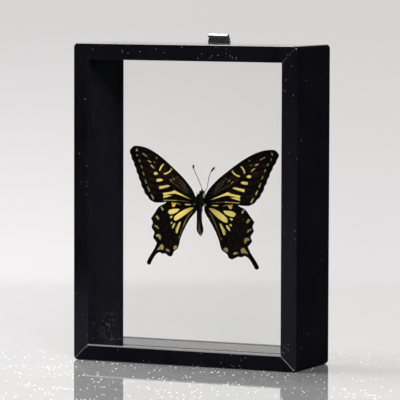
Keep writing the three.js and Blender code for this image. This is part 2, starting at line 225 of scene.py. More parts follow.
def make_scratches():
    """Short fine hairlines that run in two directions."""
    tree, entry, leaving = new_group("fine scratches", {"Density": 260.0, "Cover": 0.3}, ["Mask"])
    lines = []
    for turn in (0.5, -0.9):
        place = own_place(tree, Rotation=(0, turn, 0), Scale=(1, 1, 0.04))
        inputs = {"Vector": place, "Scale": entry.outputs["Density"], "Detail": 1.0}
        grain = add_node(tree, "ShaderNodeTexNoise", inputs).outputs["Fac"]
        apart = absolute(tree, maths(tree, "SUBTRACT", grain, 0.5))
        lines.append(eased(tree, apart, 0.006, 0.001))
    both = larger(tree, *lines)
    patches = eased(tree, noise(tree, 60.0), 0.5, 0.8)
    thinned = times(tree, both, times(tree, patches, entry.outputs["Cover"]))
    tree.links.new(thinned, leaving.inputs["Mask"])
    return tree


def make_edge_wear():
    """Stronger where the surface turns sharply, broken up by noise."""
    tree, entry, leaving = new_group("edge wear", {"Reach": 0.0005, "Amount": 1.0}, ["Mask"])
    rounded = add_node(tree, "ShaderNodeBevel", {"Radius": entry.outputs["Reach"]}).outputs[0]
    straight = add_node(tree, "ShaderNodeNewGeometry").outputs["Normal"]
    dot = add_node(tree, "ShaderNodeVectorMath", {0: rounded, 1: straight}, operation="DOT_PRODUCT")
    turned = eased(tree, maths(tree, "SUBTRACT", 1.0, dot.outputs["Value"]), 0.02, 0.2)
    broken = eased(tree, noise(tree, 400.0, detail=4.0), 0.42, 0.62)
    worn = times(tree, turned, broken)
    tree.links.new(times(tree, worn, entry.outputs["Amount"]), leaving.inputs["Mask"])
    return tree


DUST = make_dust()
SCRATCHES = make_scratches()
EDGE_WEAR = make_edge_wear()

# ---- materials


def new_material(name, **values):
    """Material whose shader has the given plain values."""
    material = bpy.data.materials.new(name)
    material.use_nodes = True
    tree = material.node_tree
    shader = tree.nodes["Principled BSDF"]
    for label, value in values.items():
        shader.inputs[label.replace("_", " ")].default_value = value
    return material, tree, shader


def wire(tree, shader, **links):
    for label, socket in links.items():
        tree.links.new(socket, shader.inputs[label.replace("_", " ")])


DARK_LACQUER = (0.0020, 0.0019, 0.0030, 1)
FILMED_LACQUER = (0.0032, 0.0031, 0.0045, 1)
# paler lacquer low on the side rails' fronts
LOW_FRONT_PALE = (0.0085, 0.0086, 0.0120, 1)
RUBBED_LACQUER = (0.04, 0.038, 0.04, 1)
HAIRLINE = (0.05, 0.05, 0.055, 1)
# painted highlight colour for the lines along the sill's lip and the lower left mitre
PAINTED_HIGHLIGHT = (0.20, 0.20, 0.205, 1)
SPECK = (0.25, 0.25, 0.26, 1)

# Places on the frame, in metres like the coordinates that a material reads.
FRONT_FACE = FRONT * MM
LIP_DEPTH = FRONT_FACE + 0.0003
LIP_HEIGHT = 0.0087
MITRE_REACH = FRAME_WIDTH / 2 * MM  # distance out plus height, all along a lower mitre
LEFT_INNER_WALL = -0.0575


def low_front_paleness(tree):
    """Paler lacquer low on the front of both side rails, reaching higher up on the right one."""
    across, depth, height = [axis_value(tree, axis) for axis in "XYZ"]
    front = eased(tree, depth, FRONT_FACE + 0.001, FRONT_FACE + 0.0001)
    reach = maths(tree, "ADD", absolute(tree, across), height)
    above_mitre = eased(tree, reach, MITRE_REACH, MITRE_REACH + 0.0004)
    right_height = between(tree, eased(tree, height, 0.14, 0.05), 0.15, 0.8)
    right = times(tree, eased(tree, across, 0.055, 0.058), right_height)
    left = times(tree, eased(tree, across, -0.055, -0.058), eased(tree, height, 0.06, 0.015))
    return times(tree, times(tree, front, above_mitre), larger(tree, right, left))


def painted_highlight_lines(tree):
    """Painted highlights: pale lines along the sill's front lip and the lower left mitre."""
    across, depth, height = [axis_value(tree, axis) for axis in "XYZ"]

    def close_to(value, target, reach):
        apart = absolute(tree, maths(tree, "SUBTRACT", value, target))
        return eased(tree, apart, reach, reach * 0.4)

    lip = times(tree, close_to(depth, LIP_DEPTH, 0.0006), close_to(height, LIP_HEIGHT, 0.0006))
    between_mitres = eased(tree, absolute(tree, across), 0.0588, 0.0580)
    along = maths(tree, "SUBTRACT", across, height)
    mitre = times(tree, close_to(along, -MITRE_REACH, 0.00045),
                  eased(tree, depth, FRONT_FACE + 0.001, LIP_DEPTH))
    below_lip = eased(tree, height, 0.0095, 0.0085)
    fainter = times(tree, below_lip, 0.5)
    return larger(tree, times(tree, lip, between_mitres), times(tree, mitre, fainter))


def frame_specks(tree, worn):
    """Dust all over, lint here and there, and grit on worn edges and low on the left inner wall."""
    dust = use_group(tree, DUST, spacing=0.0012, size=0.19, cover=0.25)
    lint = use_group(tree, DUST, spacing=0.006, size=0.06, cover=0.5)
    grit = use_group(tree, DUST, spacing=0.0014, size=0.2, cover=1.0)
    from_wall = absolute(tree, maths(tree, "SUBTRACT", axis_value(tree, "X"), LEFT_INNER_WALL))
    low = eased(tree, axis_value(tree, "Z"), 0.034, 0.012)
    low_left = times(tree, eased(tree, from_wall, 0.006, 0.002), low)
    settled = times(tree, grit, larger(tree, low_left, worn))
    return larger(tree, larger(tree, dust, lint), settled)


def lacquered_wood():
    """Black lacquer with smudges, worn edges, hairlines and dust, paler low on the side rails' fronts,
    with painted highlight lines on the sill's lip and the lower left mitre.
    """
    material, tree, shader = new_material("black lacquered wood", Specular_IOR_Level=0.5)
    worn = use_group(tree, EDGE_WEAR, reach=0.0004, amount=0.6)
    scratches = use_group(tree, SCRATCHES, density=240.0, cover=0.25)
    specks = frame_specks(tree, worn)
    film = noise(tree, 34.0, detail=5.0)
    lacquer = mixed(tree, eased(tree, film, 0.3, 0.7), DARK_LACQUER, FILMED_LACQUER)
    # paler low on the side rails' fronts
    paled_low_front = mixed(tree, low_front_paleness(tree), lacquer, LOW_FRONT_PALE)
    rubbed = mixed(tree, worn, paled_low_front, RUBBED_LACQUER)
    marked = mixed(tree, scratches, rubbed, HAIRLINE)
    # painted highlight lines along the sill's lip and the lower left mitre
    thinned = mixed(tree, painted_highlight_lines(tree), marked, PAINTED_HIGHLIGHT)
    colour = mixed(tree, specks, thinned, SPECK)
    smudge = between(tree, eased(tree, film, 0.25, 0.75), 0.10, 0.17)
    roughness = maths(tree, "ADD", smudge, times(tree, specks, 0.5))
    orange_peel = bumped(tree, noise(tree, 700.0, detail=2.0), 0.05, 0.00003)
    normal = bumped(tree, specks, 0.6, 0.0001, orange_peel)
    wire(tree, shader, Base_Color=colour, Roughness=roughness, Normal=normal)
    return material


def clear_glass():
    """Clear glass with a trace of dust."""
    values = {"Transmission_Weight": 1.0, "IOR": 1.45, "Metallic": 0.0}
    material, tree, shader = new_material("clear glass", **values)
    dust = use_group(tree, DUST, spacing=0.006, size=0.05, cover=0.35)
    film = noise(tree, 18.0, detail=4.0)
    colour = mixed(tree, eased(tree, film, 0.3, 0.7), (1.0, 1.0, 0.99, 1), (0.99, 0.995, 0.98, 1))
    dusty = mixed(tree, dust, colour, (0.8, 0.8, 0.79, 1))
    wire(tree, shader, Base_Color=dusty, Roughness=times(tree, dust, 0.3))
    return material


def clear_acrylic():
    """Clear acrylic with a slight haze."""
    values = {"Transmission_Weight": 1.0, "IOR": 1.49, "Metallic": 0.0}
    material, tree, shader = new_material("clear acrylic", **values)
    haze = noise(tree, 350.0, detail=3.0)
    colour = mixed(tree, haze, (0.97, 0.98, 0.985, 1), (0.93, 0.95, 0.96, 1))
    wire(tree, shader, Base_Color=colour, Roughness=between(tree, haze, 0.02, 0.08))
    return material


def plated_steel():
    """Blotched bright plating over rolled steel, brighter on worn edges."""
    material, tree, shader = new_material("bright plated steel", Metallic=1.0)
    rolled = noise(tree, 260.0, detail=4.0, stretch=(0.08, 1, 1))
    blotch = noise(tree, 120.0, detail=3.0)
    dust = use_group(tree, DUST, spacing=0.002, size=0.12, cover=0.4)
    worn = use_group(tree, EDGE_WEAR, reach=0.0003, amount=0.8)
    plate = mixed(tree, eased(tree, blotch, 0.3, 0.7), (0.40, 0.41, 0.43, 1), (0.56, 0.56, 0.56, 1))
    bright = mixed(tree, worn, plate, (0.75, 0.74, 0.72, 1))
    colour = mixed(tree, dust, bright, (0.3, 0.29, 0.27, 1))
    roughness = between(tree, eased(tree, rolled, 0.35, 0.65), 0.22, 0.38)
    normal = bumped(tree, rolled, 0.15, 0.00005)
    wire(tree, shader, Base_Color=colour, Roughness=roughness, Normal=normal)
    return material


PALE_YELLOW = (0.37, 0.285, 0.066, 1)
CREAM = (0.385, 0.325, 0.115, 1)
OLIVE_YELLOW = (0.20, 0.165, 0.070, 1)
AMBER = (0.44, 0.28, 0.045, 1)
RUST = (0.16, 0.055, 0.012, 1)
CELL_STREAK = (0.30, 0.26, 0.15, 1)
# painted glint of folds that catch the light
FOLD_GLINT = (0.13, 0.12, 0.125, 1)
WING_BLACK = (0.0013, 0.0009, 0.0005, 1)
WING_BROWN = (0.0098, 0.0038, 0.0022, 1)


def wing_ground(tree, blotch, brown_share):
    """Black along the veins and the rim, brown between them."""
    between_veins = eased(tree, attribute(tree, "vein"), 0.15, 1.6)
    inland = eased(tree, attribute(tree, "rim"), 1.5, 4.5)
    browned = times(tree, between_veins, times(tree, inland, brown_share))
    return mixed(tree, times(tree, browned, eased(tree, blotch, 0.25, 0.7)), WING_BLACK, WING_BROWN)


def wing_scales(name, brown_share, streak_and_glint_colour, right_share):
    """Matt scales, darker on the right wing and duller near the body.

    The mesh carries how deep a point lies inside each kind of marking.
    """
    material, tree, shader = new_material(name, Specular_IOR_Level=0.01)
    scale_rows = noise(tree, 5200.0, detail=2.0, stretch=(1, 1, 0.35))
    blotch = noise(tree, 420.0, detail=4.0)
    ragged = between(tree, scale_rows, -0.1, 0.1)
    yellow = mixed(tree, eased(tree, blotch, 0.3, 0.75), PALE_YELLOW, CREAM)
    # Each layer: its marking, the depths at which it starts and is full, its share, its colour.
    layers = [
        # streaks on the forewings, painted fold glints on the hindwings
        ("streak", -0.06, 0.09, 0.95, streak_and_glint_colour),
        ("dull", -0.1, 0.35, 1.0, OLIVE_YELLOW),
        ("pale", -0.02, 0.16, 1.0, yellow),
        ("amber", -0.2, 0.3, 1.0, AMBER),
        ("rust", -0.2, 0.2, 1.0, RUST),
        ("eye", -0.1, 0.15, 1.0, WING_BLACK),
    ]
    colour = wing_ground(tree, blotch, brown_share)
    for label, low, high, share, paint in layers:
        depth = maths(tree, "ADD", attribute(tree, label), ragged)
        colour = mixed(tree, times(tree, eased(tree, depth, low, high), share), colour, paint)
    vein = eased(tree, attribute(tree, "vein"), 0.26, 0.1)
    veined = mixed(tree, times(tree, vein, 0.85), colour, WING_BLACK)
    away = eased(tree, absolute(tree, axis_value(tree, "X")), 0.003, 0.014)
    # darker on the right wing
    darker_on_right = between(tree, eased(tree, axis_value(tree, "X"), -0.003, 0.003), 1.0, right_share)
    by_place = times(tree, between(tree, away, 0.45, 1.0), darker_on_right)
    shade = times(tree, between(tree, scale_rows, 0.72, 1.25), by_place)
    inputs = {0: 1.0, 6: veined, 7: shade}
    shaded = add_node(tree, "ShaderNodeMix", inputs, data_type="RGBA", blend_type="MULTIPLY")
    wire(tree, shader, Base_Color=shaded.outputs[2], Roughness=between(tree, scale_rows, 0.62, 0.9))
    wire(tree, shader, Normal=bumped(tree, scale_rows, 0.5, 0.00005))
    return material


def body_shell():
    """Dry blue-black shell with a tan streak low on one flank."""
    material, tree, shader = new_material("body shell", Specular_IOR_Level=0.0)
    mottle = noise(tree, 1500.0, detail=4.0)
    flank = maths(tree, "ADD", attribute(tree, "flank"), between(tree, mottle, -0.3, 0.3))
    dark = mixed(tree, mottle, (0.0008, 0.0008, 0.0012, 1), (0.0020, 0.0019, 0.0025, 1))
    tan = mixed(tree, mottle, (0.018, 0.013, 0.006, 1), (0.060, 0.046, 0.024, 1))
    colour = mixed(tree, eased(tree, flank, 0.0, 0.45), dark, tan)
    normal = bumped(tree, mottle, 0.5, 0.0001)
    wire(tree, shader, Base_Color=colour, Roughness=between(tree, mottle, 0.4, 0.7), Normal=normal)
    return material


def hair_coat():
    """Fine hair whose paleness is set hair by hair."""
    material, tree, shader = new_material("hair coat", Specular_IOR_Level=0.0)
    paleness = attribute(tree, "paleness")
    shade = noise(tree, 2500.0, detail=2.0)
    dark = mixed(tree, shade, (0.0005, 0.0005, 0.0007, 1), (0.0013, 0.0012, 0.0014, 1))
    fair = mixed(tree, shade, (0.34, 0.32, 0.22, 1), (0.58, 0.55, 0.38, 1))
    wire(tree, shader, Base_Color=mixed(tree, paleness, dark, fair))
    wire(tree, shader, Roughness=between(tree, shade, 0.55, 0.8))
    return material


def dark_limb():
    """Feelers and legs: black shell with a thin bloom."""
    material, tree, shader = new_material("dark limb", Specular_IOR_Level=0.03)
    bloom = noise(tree, 1800.0, detail=3.0)
    colour = mixed(tree, bloom, (0.003, 0.003, 0.003, 1), (0.012, 0.010, 0.009, 1))
    wire(tree, shader, Base_Color=colour, Roughness=between(tree, bloom, 0.35, 0.6))
    wire(tree, shader, Normal=bumped(tree, bloom, 0.4, 0.00004))
    return material


def compound_eye():
    """Dark glossy eye with fine facets."""
    material, tree, shader = new_material("compound eye", Coat_Weight=0.6)
    inputs = {"Vector": own_place(tree), "Scale": 9000.0}
    cells = add_node(tree, "ShaderNodeTexVoronoi", inputs).outputs[0]
    colour = mixed(tree, cells, (0.03, 0.022, 0.018, 1), (0.008, 0.006, 0.006, 1))
    wire(tree, shader, Base_Color=colour, Roughness=between(tree, cells, 0.2, 0.4))
    wire(tree, shader, Normal=bumped(tree, cells, 0.4, 0.00003))
    return material


# ---- mesh helpers


def add_piece(name, bm, material, node=None, crease=32):
    """Makes a piece of a mesh in millimetres. It rides on the frame and may stand for a node."""
    bmesh.ops.scale(bm, vec=(MM, MM, MM), verts=bm.verts)
    mesh = bpy.data.meshes.new(name)
    bm.to_mesh(mesh)
    bm.free()
    mesh.shade_smooth()
    mesh.set_sharp_from_angle(angle=math.radians(crease))
    mesh.materials.append(material)
    piece = bpy.data.objects.new(name, mesh)
    bpy.context.collection.objects.link(piece)
    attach(piece, "root")
    if node:
        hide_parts(node)
    return piece


def add_insect_piece(name, bm, material, node=None):
    """Makes a piece of the insect, whose soft creases stay smooth."""
    return add_piece(name, bm, material, node, crease=50)


def even_normals(piece):
    """Keeps broad flats flat beside their rounded edges."""
    modifier = piece.modifiers.new("even normals", "WEIGHTED_NORMAL")
    modifier.keep_sharp = True


def outward(bm):
    bmesh.ops.recalc_face_normals(bm, faces=bm.faces)


def round_edges(bm, edges, radius, segments):
    bmesh.ops.bevel(
        bm,
        geom=edges,
        offset=radius,
        offset_type="OFFSET",
        affect="EDGES",
        segments=segments,
        profile=0.5,
        material=-1,
    )


def push_out(bm, faces, vector):
    """Extrudes flat faces into a closed solid."""
    out = bmesh.ops.extrude_face_region(bm, geom=faces, use_keep_orig=True)
    moved = [item for item in out["geom"] if isinstance(item, bmesh.types.BMVert)]
    bmesh.ops.translate(bm, vec=vector, verts=moved)
    outward(bm)


def halve(bm, place, normal, **options):
    """Cuts every face that a plane crosses."""
    everything = bm.verts[:] + bm.edges[:] + bm.faces[:]
    bmesh.ops.bisect_plane(bm, geom=everything, plane_co=place, plane_no=normal, **options)


def smooth_line(points, steps):
    """Points along a smooth curve through the given points, of any number of coordinates."""
    knots = [np.array(point, float) for point in points]
    knots = [2 * knots[0] - knots[1], *knots, 2 * knots[-1] - knots[-2]]
    line = []
    for a, b, c, d in zip(knots, knots[1:], knots[2:], knots[3:]):
        for step in range(steps):
            t = step / steps
            bend = (2 * a - 5 * b + 4 * c - d) * t * t + (3 * b - a - 3 * c + d) * t ** 3
            line.append(0.5 * (2 * b + (c - a) * t + bend))
    return [*line, knots[-2]]


def tube(bm, line, radii, sides):
    """Closed round bar along a line of points, with a radius at each."""
    points = [Vector(point) for point in line]
    before = None
    rings = []
    for i, (point, radius) in enumerate(zip(points, radii)):
        run = points[min(i + 1, len(points) - 1)] - points[max(i - 1, 0)]
        turn = run.to_track_quat("Z", "Y").to_matrix().to_4x4()
        place = Matrix.Translation(point) @ turn
        made = bmesh.ops.create_circle(bm, segments=sides, radius=radius, matrix=place)
        ring = list({edge for vert in made["verts"] for edge in vert.link_edges})
        if before:
            bmesh.ops.bridge_loops(bm, edges=before + ring)
        before = ring
        rings.append(made["verts"])
    for ring in (rings[0], rings[-1]):
        bmesh.ops.contextual_create(bm, geom=ring)


def ball(bm, centre, radii, subdivisions):
    """Ellipsoid."""
    place = Matrix.Translation(centre) @ Matrix.Diagonal((*radii, 1))
    bmesh.ops.create_icosphere(bm, subdivisions=subdivisions, radius=1, matrix=place)


def set_attribute(piece, name, values):
    layer = piece.data.attributes.new(name, "FLOAT", "POINT")
    layer.data.foreach_set("value", np.asarray(values, np.float32))


# ---- frame


def groove_walls(middle):
    return middle - GROOVE_WIDTH / 2, middle + GROOVE_WIDTH / 2


def rail_blank(length):
    """Square-ended rail with both grooves. Its outside face is down."""
    groove_bottom = RAIL_FACE - GROOVE_DEPTH
    section = [(FRONT, 0), (BACK, 0), (BACK, RAIL_FACE)]
    for middle in (BACK_PANE_MIDDLE, FRONT_PANE_MIDDLE):
        low, high = groove_walls(middle)
        section += [(high, RAIL_FACE), (high, groove_bottom), (low, groove_bottom), (low, RAIL_FACE)]
    section.append((FRONT, RAIL_FACE))
    bm = bmesh.new()
    face = bm.faces.new([bm.verts.new((-length / 2, y, z)) for y, z in section])
    push_out(bm, [face], (length, 0, 0))
    return bm


def edges_where(bm, test):
    """Edges whose two ends both pass a test of their place."""
    return [edge for edge in bm.edges if all(test(*vert.co) for vert in edge.verts)]


def near(value, target):
    return abs(value - target) < 0.01


def long_ones(edges):
    """Those edges that run along a rail, not across it."""
    return [edge for edge in edges if edge.calc_length() > FRAME_DEPTH + 1]


def cut_mitre(bm, length, side):
    """Cuts one end of a rail at 45 degrees, closes it, and rounds its front edge."""
    normal = Vector((side, 0, 1)).normalized()
    corner = Vector((side * (length / 2 - SEAM_GAP), 0, 0))
    halve(bm, corner, normal, clear_outer=True, dist=1e-5)
    rim = [edge for edge in bm.edges if edge.is_boundary]
    cap = bmesh.ops.contextual_create(bm, geom=rim)["faces"][0]
    cap.normal_update()
    bend = FRONT + OUTER_ROUND + 0.1
    seam = [edge for edge in cap.edges if all(vert.co.y < bend for vert in edge.verts)]
    round_edges(bm, seam, SEAM_BEVEL, SEAM_STEPS)
    for vert in bm.verts:
        vert.co = (vert.co.x, max(vert.co.y, FRONT), max(vert.co.z, 0))


def rail(length):
    """Rail with rounded edges, and a mitre at each end."""
    bm = rail_blank(length)
    half = length / 2
    ends = edges_where(bm, lambda x, y, z: near(abs(x), half) and near(z, 0))
    corners = [edge for edge in ends if edge.calc_length() < FRAME_DEPTH + 1]
    round_edges(bm, corners, CORNER_ROUND, CORNER_STEPS)

    for face in (FRONT, BACK):
        border = edges_where(bm, lambda x, y, z: near(y, face))
        outer = [edge for edge in border if not all(near(vert.co.z, RAIL_FACE) for vert in edge.verts)]
        round_edges(bm, outer, OUTER_ROUND, EDGE_STEPS)
        lips = edges_where(bm, lambda x, y, z: near(z, RAIL_FACE) and near(y, face))
        round_edges(bm, long_ones(lips), LIP_ROUND, EDGE_STEPS)
    walls = [*groove_walls(BACK_PANE_MIDDLE), *groove_walls(FRONT_PANE_MIDDLE)]
    rims = edges_where(bm, lambda x, y, z: near(z, RAIL_FACE) and any(near(y, wall) for wall in walls))
    round_edges(bm, long_ones(rims), GROOVE_ROUND, FINE_STEPS)
    for side in (-1, 1):
        cut_mitre(bm, length, side)
    outward(bm)
    return bm


def make_rails(lacquer):
    quarter = math.pi / 2
    # Each rail's length, its turn about Y, and the place of its outside face's middle.
    places = {
        "rail-bottom": (FRAME_WIDTH, 0, (0, 0, 0)),
        "rail-top": (FRAME_WIDTH, 2 * quarter, (0, 0, FRAME_HEIGHT)),
        "rail-left": (FRAME_HEIGHT, quarter, (-FRAME_WIDTH / 2, 0, FRAME_HEIGHT / 2)),
        "rail-right": (FRAME_HEIGHT, -quarter, (FRAME_WIDTH / 2, 0, FRAME_HEIGHT / 2)),
    }
    for node, (length, turn, place) in places.items():
        bm = rail(length)
        move = Matrix.Translation(place) @ Matrix.Rotation(turn, 4, "Y")
        bmesh.ops.transform(bm, matrix=move, verts=bm.verts)
        piece = add_piece(f"lacquered-{node}", bm, lacquer, node)
        even_normals(piece)


def make_panes(glass):
    for node, middle in (("glass-front", FRONT_PANE_MIDDLE), ("glass-back", BACK_PANE_MIDDLE)):
        bm = bmesh.new()
        size = Matrix.Diagonal((PANE_WIDTH, GLASS_THICKNESS, PANE_HEIGHT, 1))
        place = Matrix.Translation((0, middle, FRAME_HEIGHT / 2)) @ size
        bmesh.ops.create_cube(bm, size=1, matrix=place)
        round_edges(bm, bm.edges[:], PANE_ARRIS, FINE_STEPS)
        pane = add_piece(f"pane-{node}", bm, glass, node)
        even_normals(pane)
        pane.visible_shadow = False


# ---- wing outlines and markings

# Every point is a distance from the body's middle and a height above the frame's bottom.
FOREWING = [
    # front edge, from the root to the tip
    [(2.0, 89.6), (2.9, 91.4), (5.0, 95.2), (10.0, 100.7), (15.0, 104.9), (20.0, 108.8),
     (25.0, 112.3), (30.0, 115.1), (35.0, 117.0), (40.0, 117.7), (42.4, 117.3), (44.3, 115.5)],
    # outer edge, slightly wavy
    [(44.3, 115.5), (44.4, 114.0), (43.4, 112.3), (42.9, 110.4), (41.6, 108.7), (41.1, 106.9),
     (39.9, 105.0), (39.6, 103.2), (38.4, 101.3), (38.0, 99.4), (36.8, 97.6), (36.4, 95.6),
     (35.1, 93.7), (34.3, 91.7), (32.6, 90.2), (31.3, 88.4), (29.0, 87.2), (28.0, 86.8)],
    # hind edge, back to the root
    [(28.0, 86.8), (24.3, 86.85), (20.0, 87.4), (12.0, 87.7), (5.0, 87.5), (2.0, 87.6)],
]
HINDWING = [
    # front edge, under the forewing
    [(2.0, 88.4), (8.0, 90.2), (14.0, 90.6), (19.0, 89.2), (22.0, 86.6), (25.7, 84.7),
     (28.1, 81.6), (30.9, 77.9)],
    # scalloped edge down to the tail
    [(30.9, 77.9), (29.8, 75.5), (30.5, 73.0), (29.1, 70.8), (28.8, 69.7), (29.5, 67.3),
     (27.8, 65.1), (27.4, 63.9), (29.2, 60.4), (32.0, 56.3), (33.3, 53.9), (33.4, 52.8),
     (32.4, 52.0), (31.2, 52.5), (30.6, 53.7), (28.9, 56.5), (27.3, 58.3), (25.4, 59.3)],
    # scalloped edge from the tail to the inner corner
    [(25.4, 59.3), (23.6, 58.5), (21.9, 58.8), (19.9, 57.8), (18.6, 57.3), (16.8, 58.1),
     (16.0, 60.0), (13.5, 61.8), (12.3, 64.2)],
    # inner edge beside the abdomen
    [(12.3, 64.2), (11.4, 67.8), (9.3, 72.6), (6.0, 78.3), (4.2, 80.6), (2.4, 83.2), (2.0, 85.6)],
]

# Patches are outlines. Strokes are a width and the line that it follows.
FOREWING_PALE_PATCHES = [
    [(26.2, 103.1), (27.6, 103.8), (29.0, 103.4), (29.0, 102.6), (28.2, 101.9), (26.7, 102.3)],
    [(22.7, 99.5), (24.5, 100.2), (27.2, 99.9), (27.2, 98.4), (24.9, 98.5)],
    [(18.6, 96.6), (20.6, 96.8), (22.4, 96.4), (25.6, 95.9), (25.3, 94.2), (21.7, 95.2),
     (18.7, 96.1)],
    # the fork: long prong to the root, dark wedge, short prong
    [(23.3, 92.3), (20.6, 92.7), (17.8, 93.3), (15.8, 94.1), (13.6, 93.1), (9.6, 91.3),
     (7.0, 90.2), (4.6, 89.0), (9.2, 90.4), (12.4, 91.5), (15.2, 92.2), (17.6, 91.95),
     (20.3, 91.7), (16.9, 91.1), (19.3, 90.4), (21.4, 89.8), (23.1, 89.4), (22.7, 91.0)],
]
FOREWING_PALE_STROKES = [
    (0.45, [(22.4, 88.35), (14.5, 88.55)]),
    # two bars across the cell
    (0.85, [(23.1, 108.2), (24.2, 107.1), (24.9, 105.9), (25.3, 104.8)]),
    (0.85, [(18.2, 105.3), (19.5, 104.0), (21.0, 103.2), (22.3, 102.9)]),
    (0.45, [(18.6, 106.1), (18.2, 105.3)]),
    # broken streaks in the cell
    (0.4, [(17.0, 100.6), (15.9, 99.8)]),
    (0.4, [(18.8, 99.9), (17.7, 99.0)]),
    (0.3, [(15.3, 101.2), (14.7, 100.7)]),
    (0.8, [(30.5, 107.0), (29.5, 106.2)]),
]
FOREWING_DULL_STROKES = [
    # spots along the outer edge
    (1.0, [(40.1, 115.8), (40.5, 115.0)]),
    (0.8, [(40.1, 112.8), (39.8, 112.2)]),
    (0.8, [(38.5, 110.0), (38.0, 109.2)]),
    (0.85, [(37.0, 106.8), (36.6, 105.9)]),
    (0.9, [(35.7, 103.2), (35.2, 102.0)]),
    (0.9, [(34.4, 99.1), (34.0, 98.3), (33.7, 97.4)]),
    (1.0, [(32.8, 95.2), (32.1, 94.3), (31.8, 93.2)]),
    (1.0, [(30.4, 91.1), (29.8, 90.2), (29.2, 88.7)]),
    # spots behind them
    (0.9, [(36.2, 113.4), (35.0, 112.8), (34.0, 112.3)]),
    (0.9, [(32.7, 109.8), (31.2, 109.1)]),
    (0.9, [(30.9, 107.2), (28.9, 105.9)]),
    (0.5, [(29.2, 109.2), (28.4, 108.8)]),
    (0.9, [(27.9, 111.6), (27.5, 111.2)]),
    (0.5, [(18.2, 105.2), (17.3, 105.4)]),
    (0.35, [(14.5, 88.55), (7.0, 88.1)]),
]
FOREWING_STREAKS = [
    (0.1, [(14.9, 102.3), (11.8, 99.6), (9.4, 97.2), (7.3, 94.4), (5.5, 92.2)]),
    (0.08, [(14.2, 100.7), (11.2, 98.0), (8.9, 95.4), (7.6, 93.6)]),
    (0.08, [(13.3, 99.0), (10.8, 96.5), (8.5, 94.2)]),
    (0.12, [(17.8, 98.5), (14.6, 96.7), (11.1, 94.8), (8.0, 92.8)]),
]
HINDWING_PALE_PATCHES = [
    [(10.6, 86.3), (9.4, 86.9), (6.3, 86.8), (6.0, 86.2), (8.3, 85.9)],
    [(20.4, 82.1), (19.2, 83.2), (17.0, 83.8), (14.6, 83.9), (12.8, 83.8), (14.4, 82.0),
     (16.9, 80.8), (19.2, 80.6)],
    [(4.0, 85.1), (7.0, 84.8), (10.4, 83.5), (13.6, 81.4), (15.5, 79.9), (16.1, 78.5),
     (15.7, 77.3), (14.0, 77.6), (11.3, 79.2), (8.4, 81.3), (5.8, 83.4)],
    [(19.0, 79.3), (18.0, 79.9), (17.0, 80.0), (16.9, 79.4), (18.1, 78.4)],
    [(18.4, 75.9), (17.6, 76.7), (16.6, 76.5), (17.2, 75.6), (18.0, 75.3)],
    [(17.4, 73.0), (16.9, 74.8), (15.7, 76.1), (14.8, 75.8), (15.6, 74.3), (16.9, 72.8)],
    [(15.0, 70.6), (14.8, 73.0), (13.5, 75.4), (12.1, 77.0), (11.4, 76.8), (12.0, 75.0),
     (13.0, 72.5), (13.7, 70.5)],
]
HINDWING_DULL_PATCHES = [
    [(16.4, 62.0), (16.3, 63.0), (15.2, 63.8), (14.0, 63.5), (13.6, 62.4), (14.6, 61.3),
     (15.9, 61.1)],
    [(28.4, 79.3), (27.0, 79.8), (25.9, 78.0), (26.2, 77.1), (27.2, 77.5), (27.9, 78.4)],
    [(29.6, 74.0), (28.5, 74.5), (27.0, 73.8), (26.2, 72.6), (26.7, 71.7), (27.5, 72.8),
     (28.5, 73.3)],
    [(28.5, 68.6), (27.1, 69.5), (25.4, 69.3), (24.7, 68.0), (25.0, 66.0), (25.9, 66.3),
     (26.4, 67.5), (27.7, 67.9)],
    [(27.6, 60.4), (26.2, 61.9), (25.0, 63.7), (23.7, 63.8), (22.9, 62.7), (23.1, 61.1),
     (23.9, 60.5), (25.3, 61.0), (26.2, 60.4)],
    [(22.3, 60.8), (21.2, 61.5), (19.9, 61.4), (18.8, 60.5), (19.0, 59.7), (19.9, 59.9),
     (21.2, 60.4)],
]
HINDWING_DULL_STROKES = [
    (1.2, [(24.5, 84.2), (23.7, 83.0)]),
    (0.6, [(14.8, 87.0), (13.0, 86.3)]),
    (0.6, [(5.0, 83.0), (7.1, 80.3), (8.8, 77.3), (10.0, 74.5)]),
    (0.35, [(10.0, 74.5), (11.2, 71.5), (11.9, 69.5), (12.7, 68.2)]),
    (0.9, [(12.5, 68.6), (12.7, 68.2)]),
]
HINDWING_AMBER_PATCHES = [
    [(18.4, 87.3), (14.8, 87.2), (15.7, 86.0), (16.4, 85.0), (17.5, 84.6), (18.0, 86.0)],
]
HINDWING_RUST = [(1.3, [(14.0, 61.7), (14.5, 62.1)])]
HINDWING_EYES = [(0.5, [(14.5, 62.2), (14.7, 62.3)])]
# Painted glints of folds that catch the light, on the right wing only.
HINDWING_FOLD_GLINTS = [
    (0.1, [(22.2, 81.5), (25.1, 80.2)]),
    (0.1, [(19.6, 79.0), (23.2, 78.0), (24.6, 76.3)]),
]
FOREWING_VEINS = [
    [(3.5, 92.0), (10.0, 99.6), (20.0, 107.7), (28.0, 113.2)],
    [(3.5, 91.6), (10.0, 98.3), (17.5, 104.6), (24.6, 109.4), (31.0, 113.2), (37.0, 115.6),
     (41.5, 116.6)],
    [(24.6, 109.4), (30.0, 111.7), (36.0, 113.0), (43.6, 113.6)],
    [(24.6, 109.4), (26.0, 107.2), (26.2, 104.8), (25.0, 102.6), (21.6, 99.4), (17.5, 96.6),
     (12.0, 93.6), (3.5, 90.3)],
    [(26.0, 107.2), (34.0, 110.6), (42.6, 110.6)],
    [(26.3, 105.4), (33.0, 107.2), (41.2, 107.4)],
    [(25.0, 102.6), (28.0, 101.4), (33.0, 102.4), (39.6, 103.8)],
    [(21.6, 99.4), (24.0, 98.0), (28.5, 97.5), (33.0, 98.4), (38.1, 100.2)],
    [(17.5, 96.6), (20.0, 94.6), (25.0, 93.6), (30.0, 94.2), (36.3, 96.3)],
    [(8.0, 89.8), (14.0, 91.3), (20.0, 91.3), (27.0, 90.8), (33.9, 91.7)],
    [(4.0, 88.8), (12.0, 89.2), (20.0, 89.1), (26.0, 88.2), (30.5, 88.6)],
]
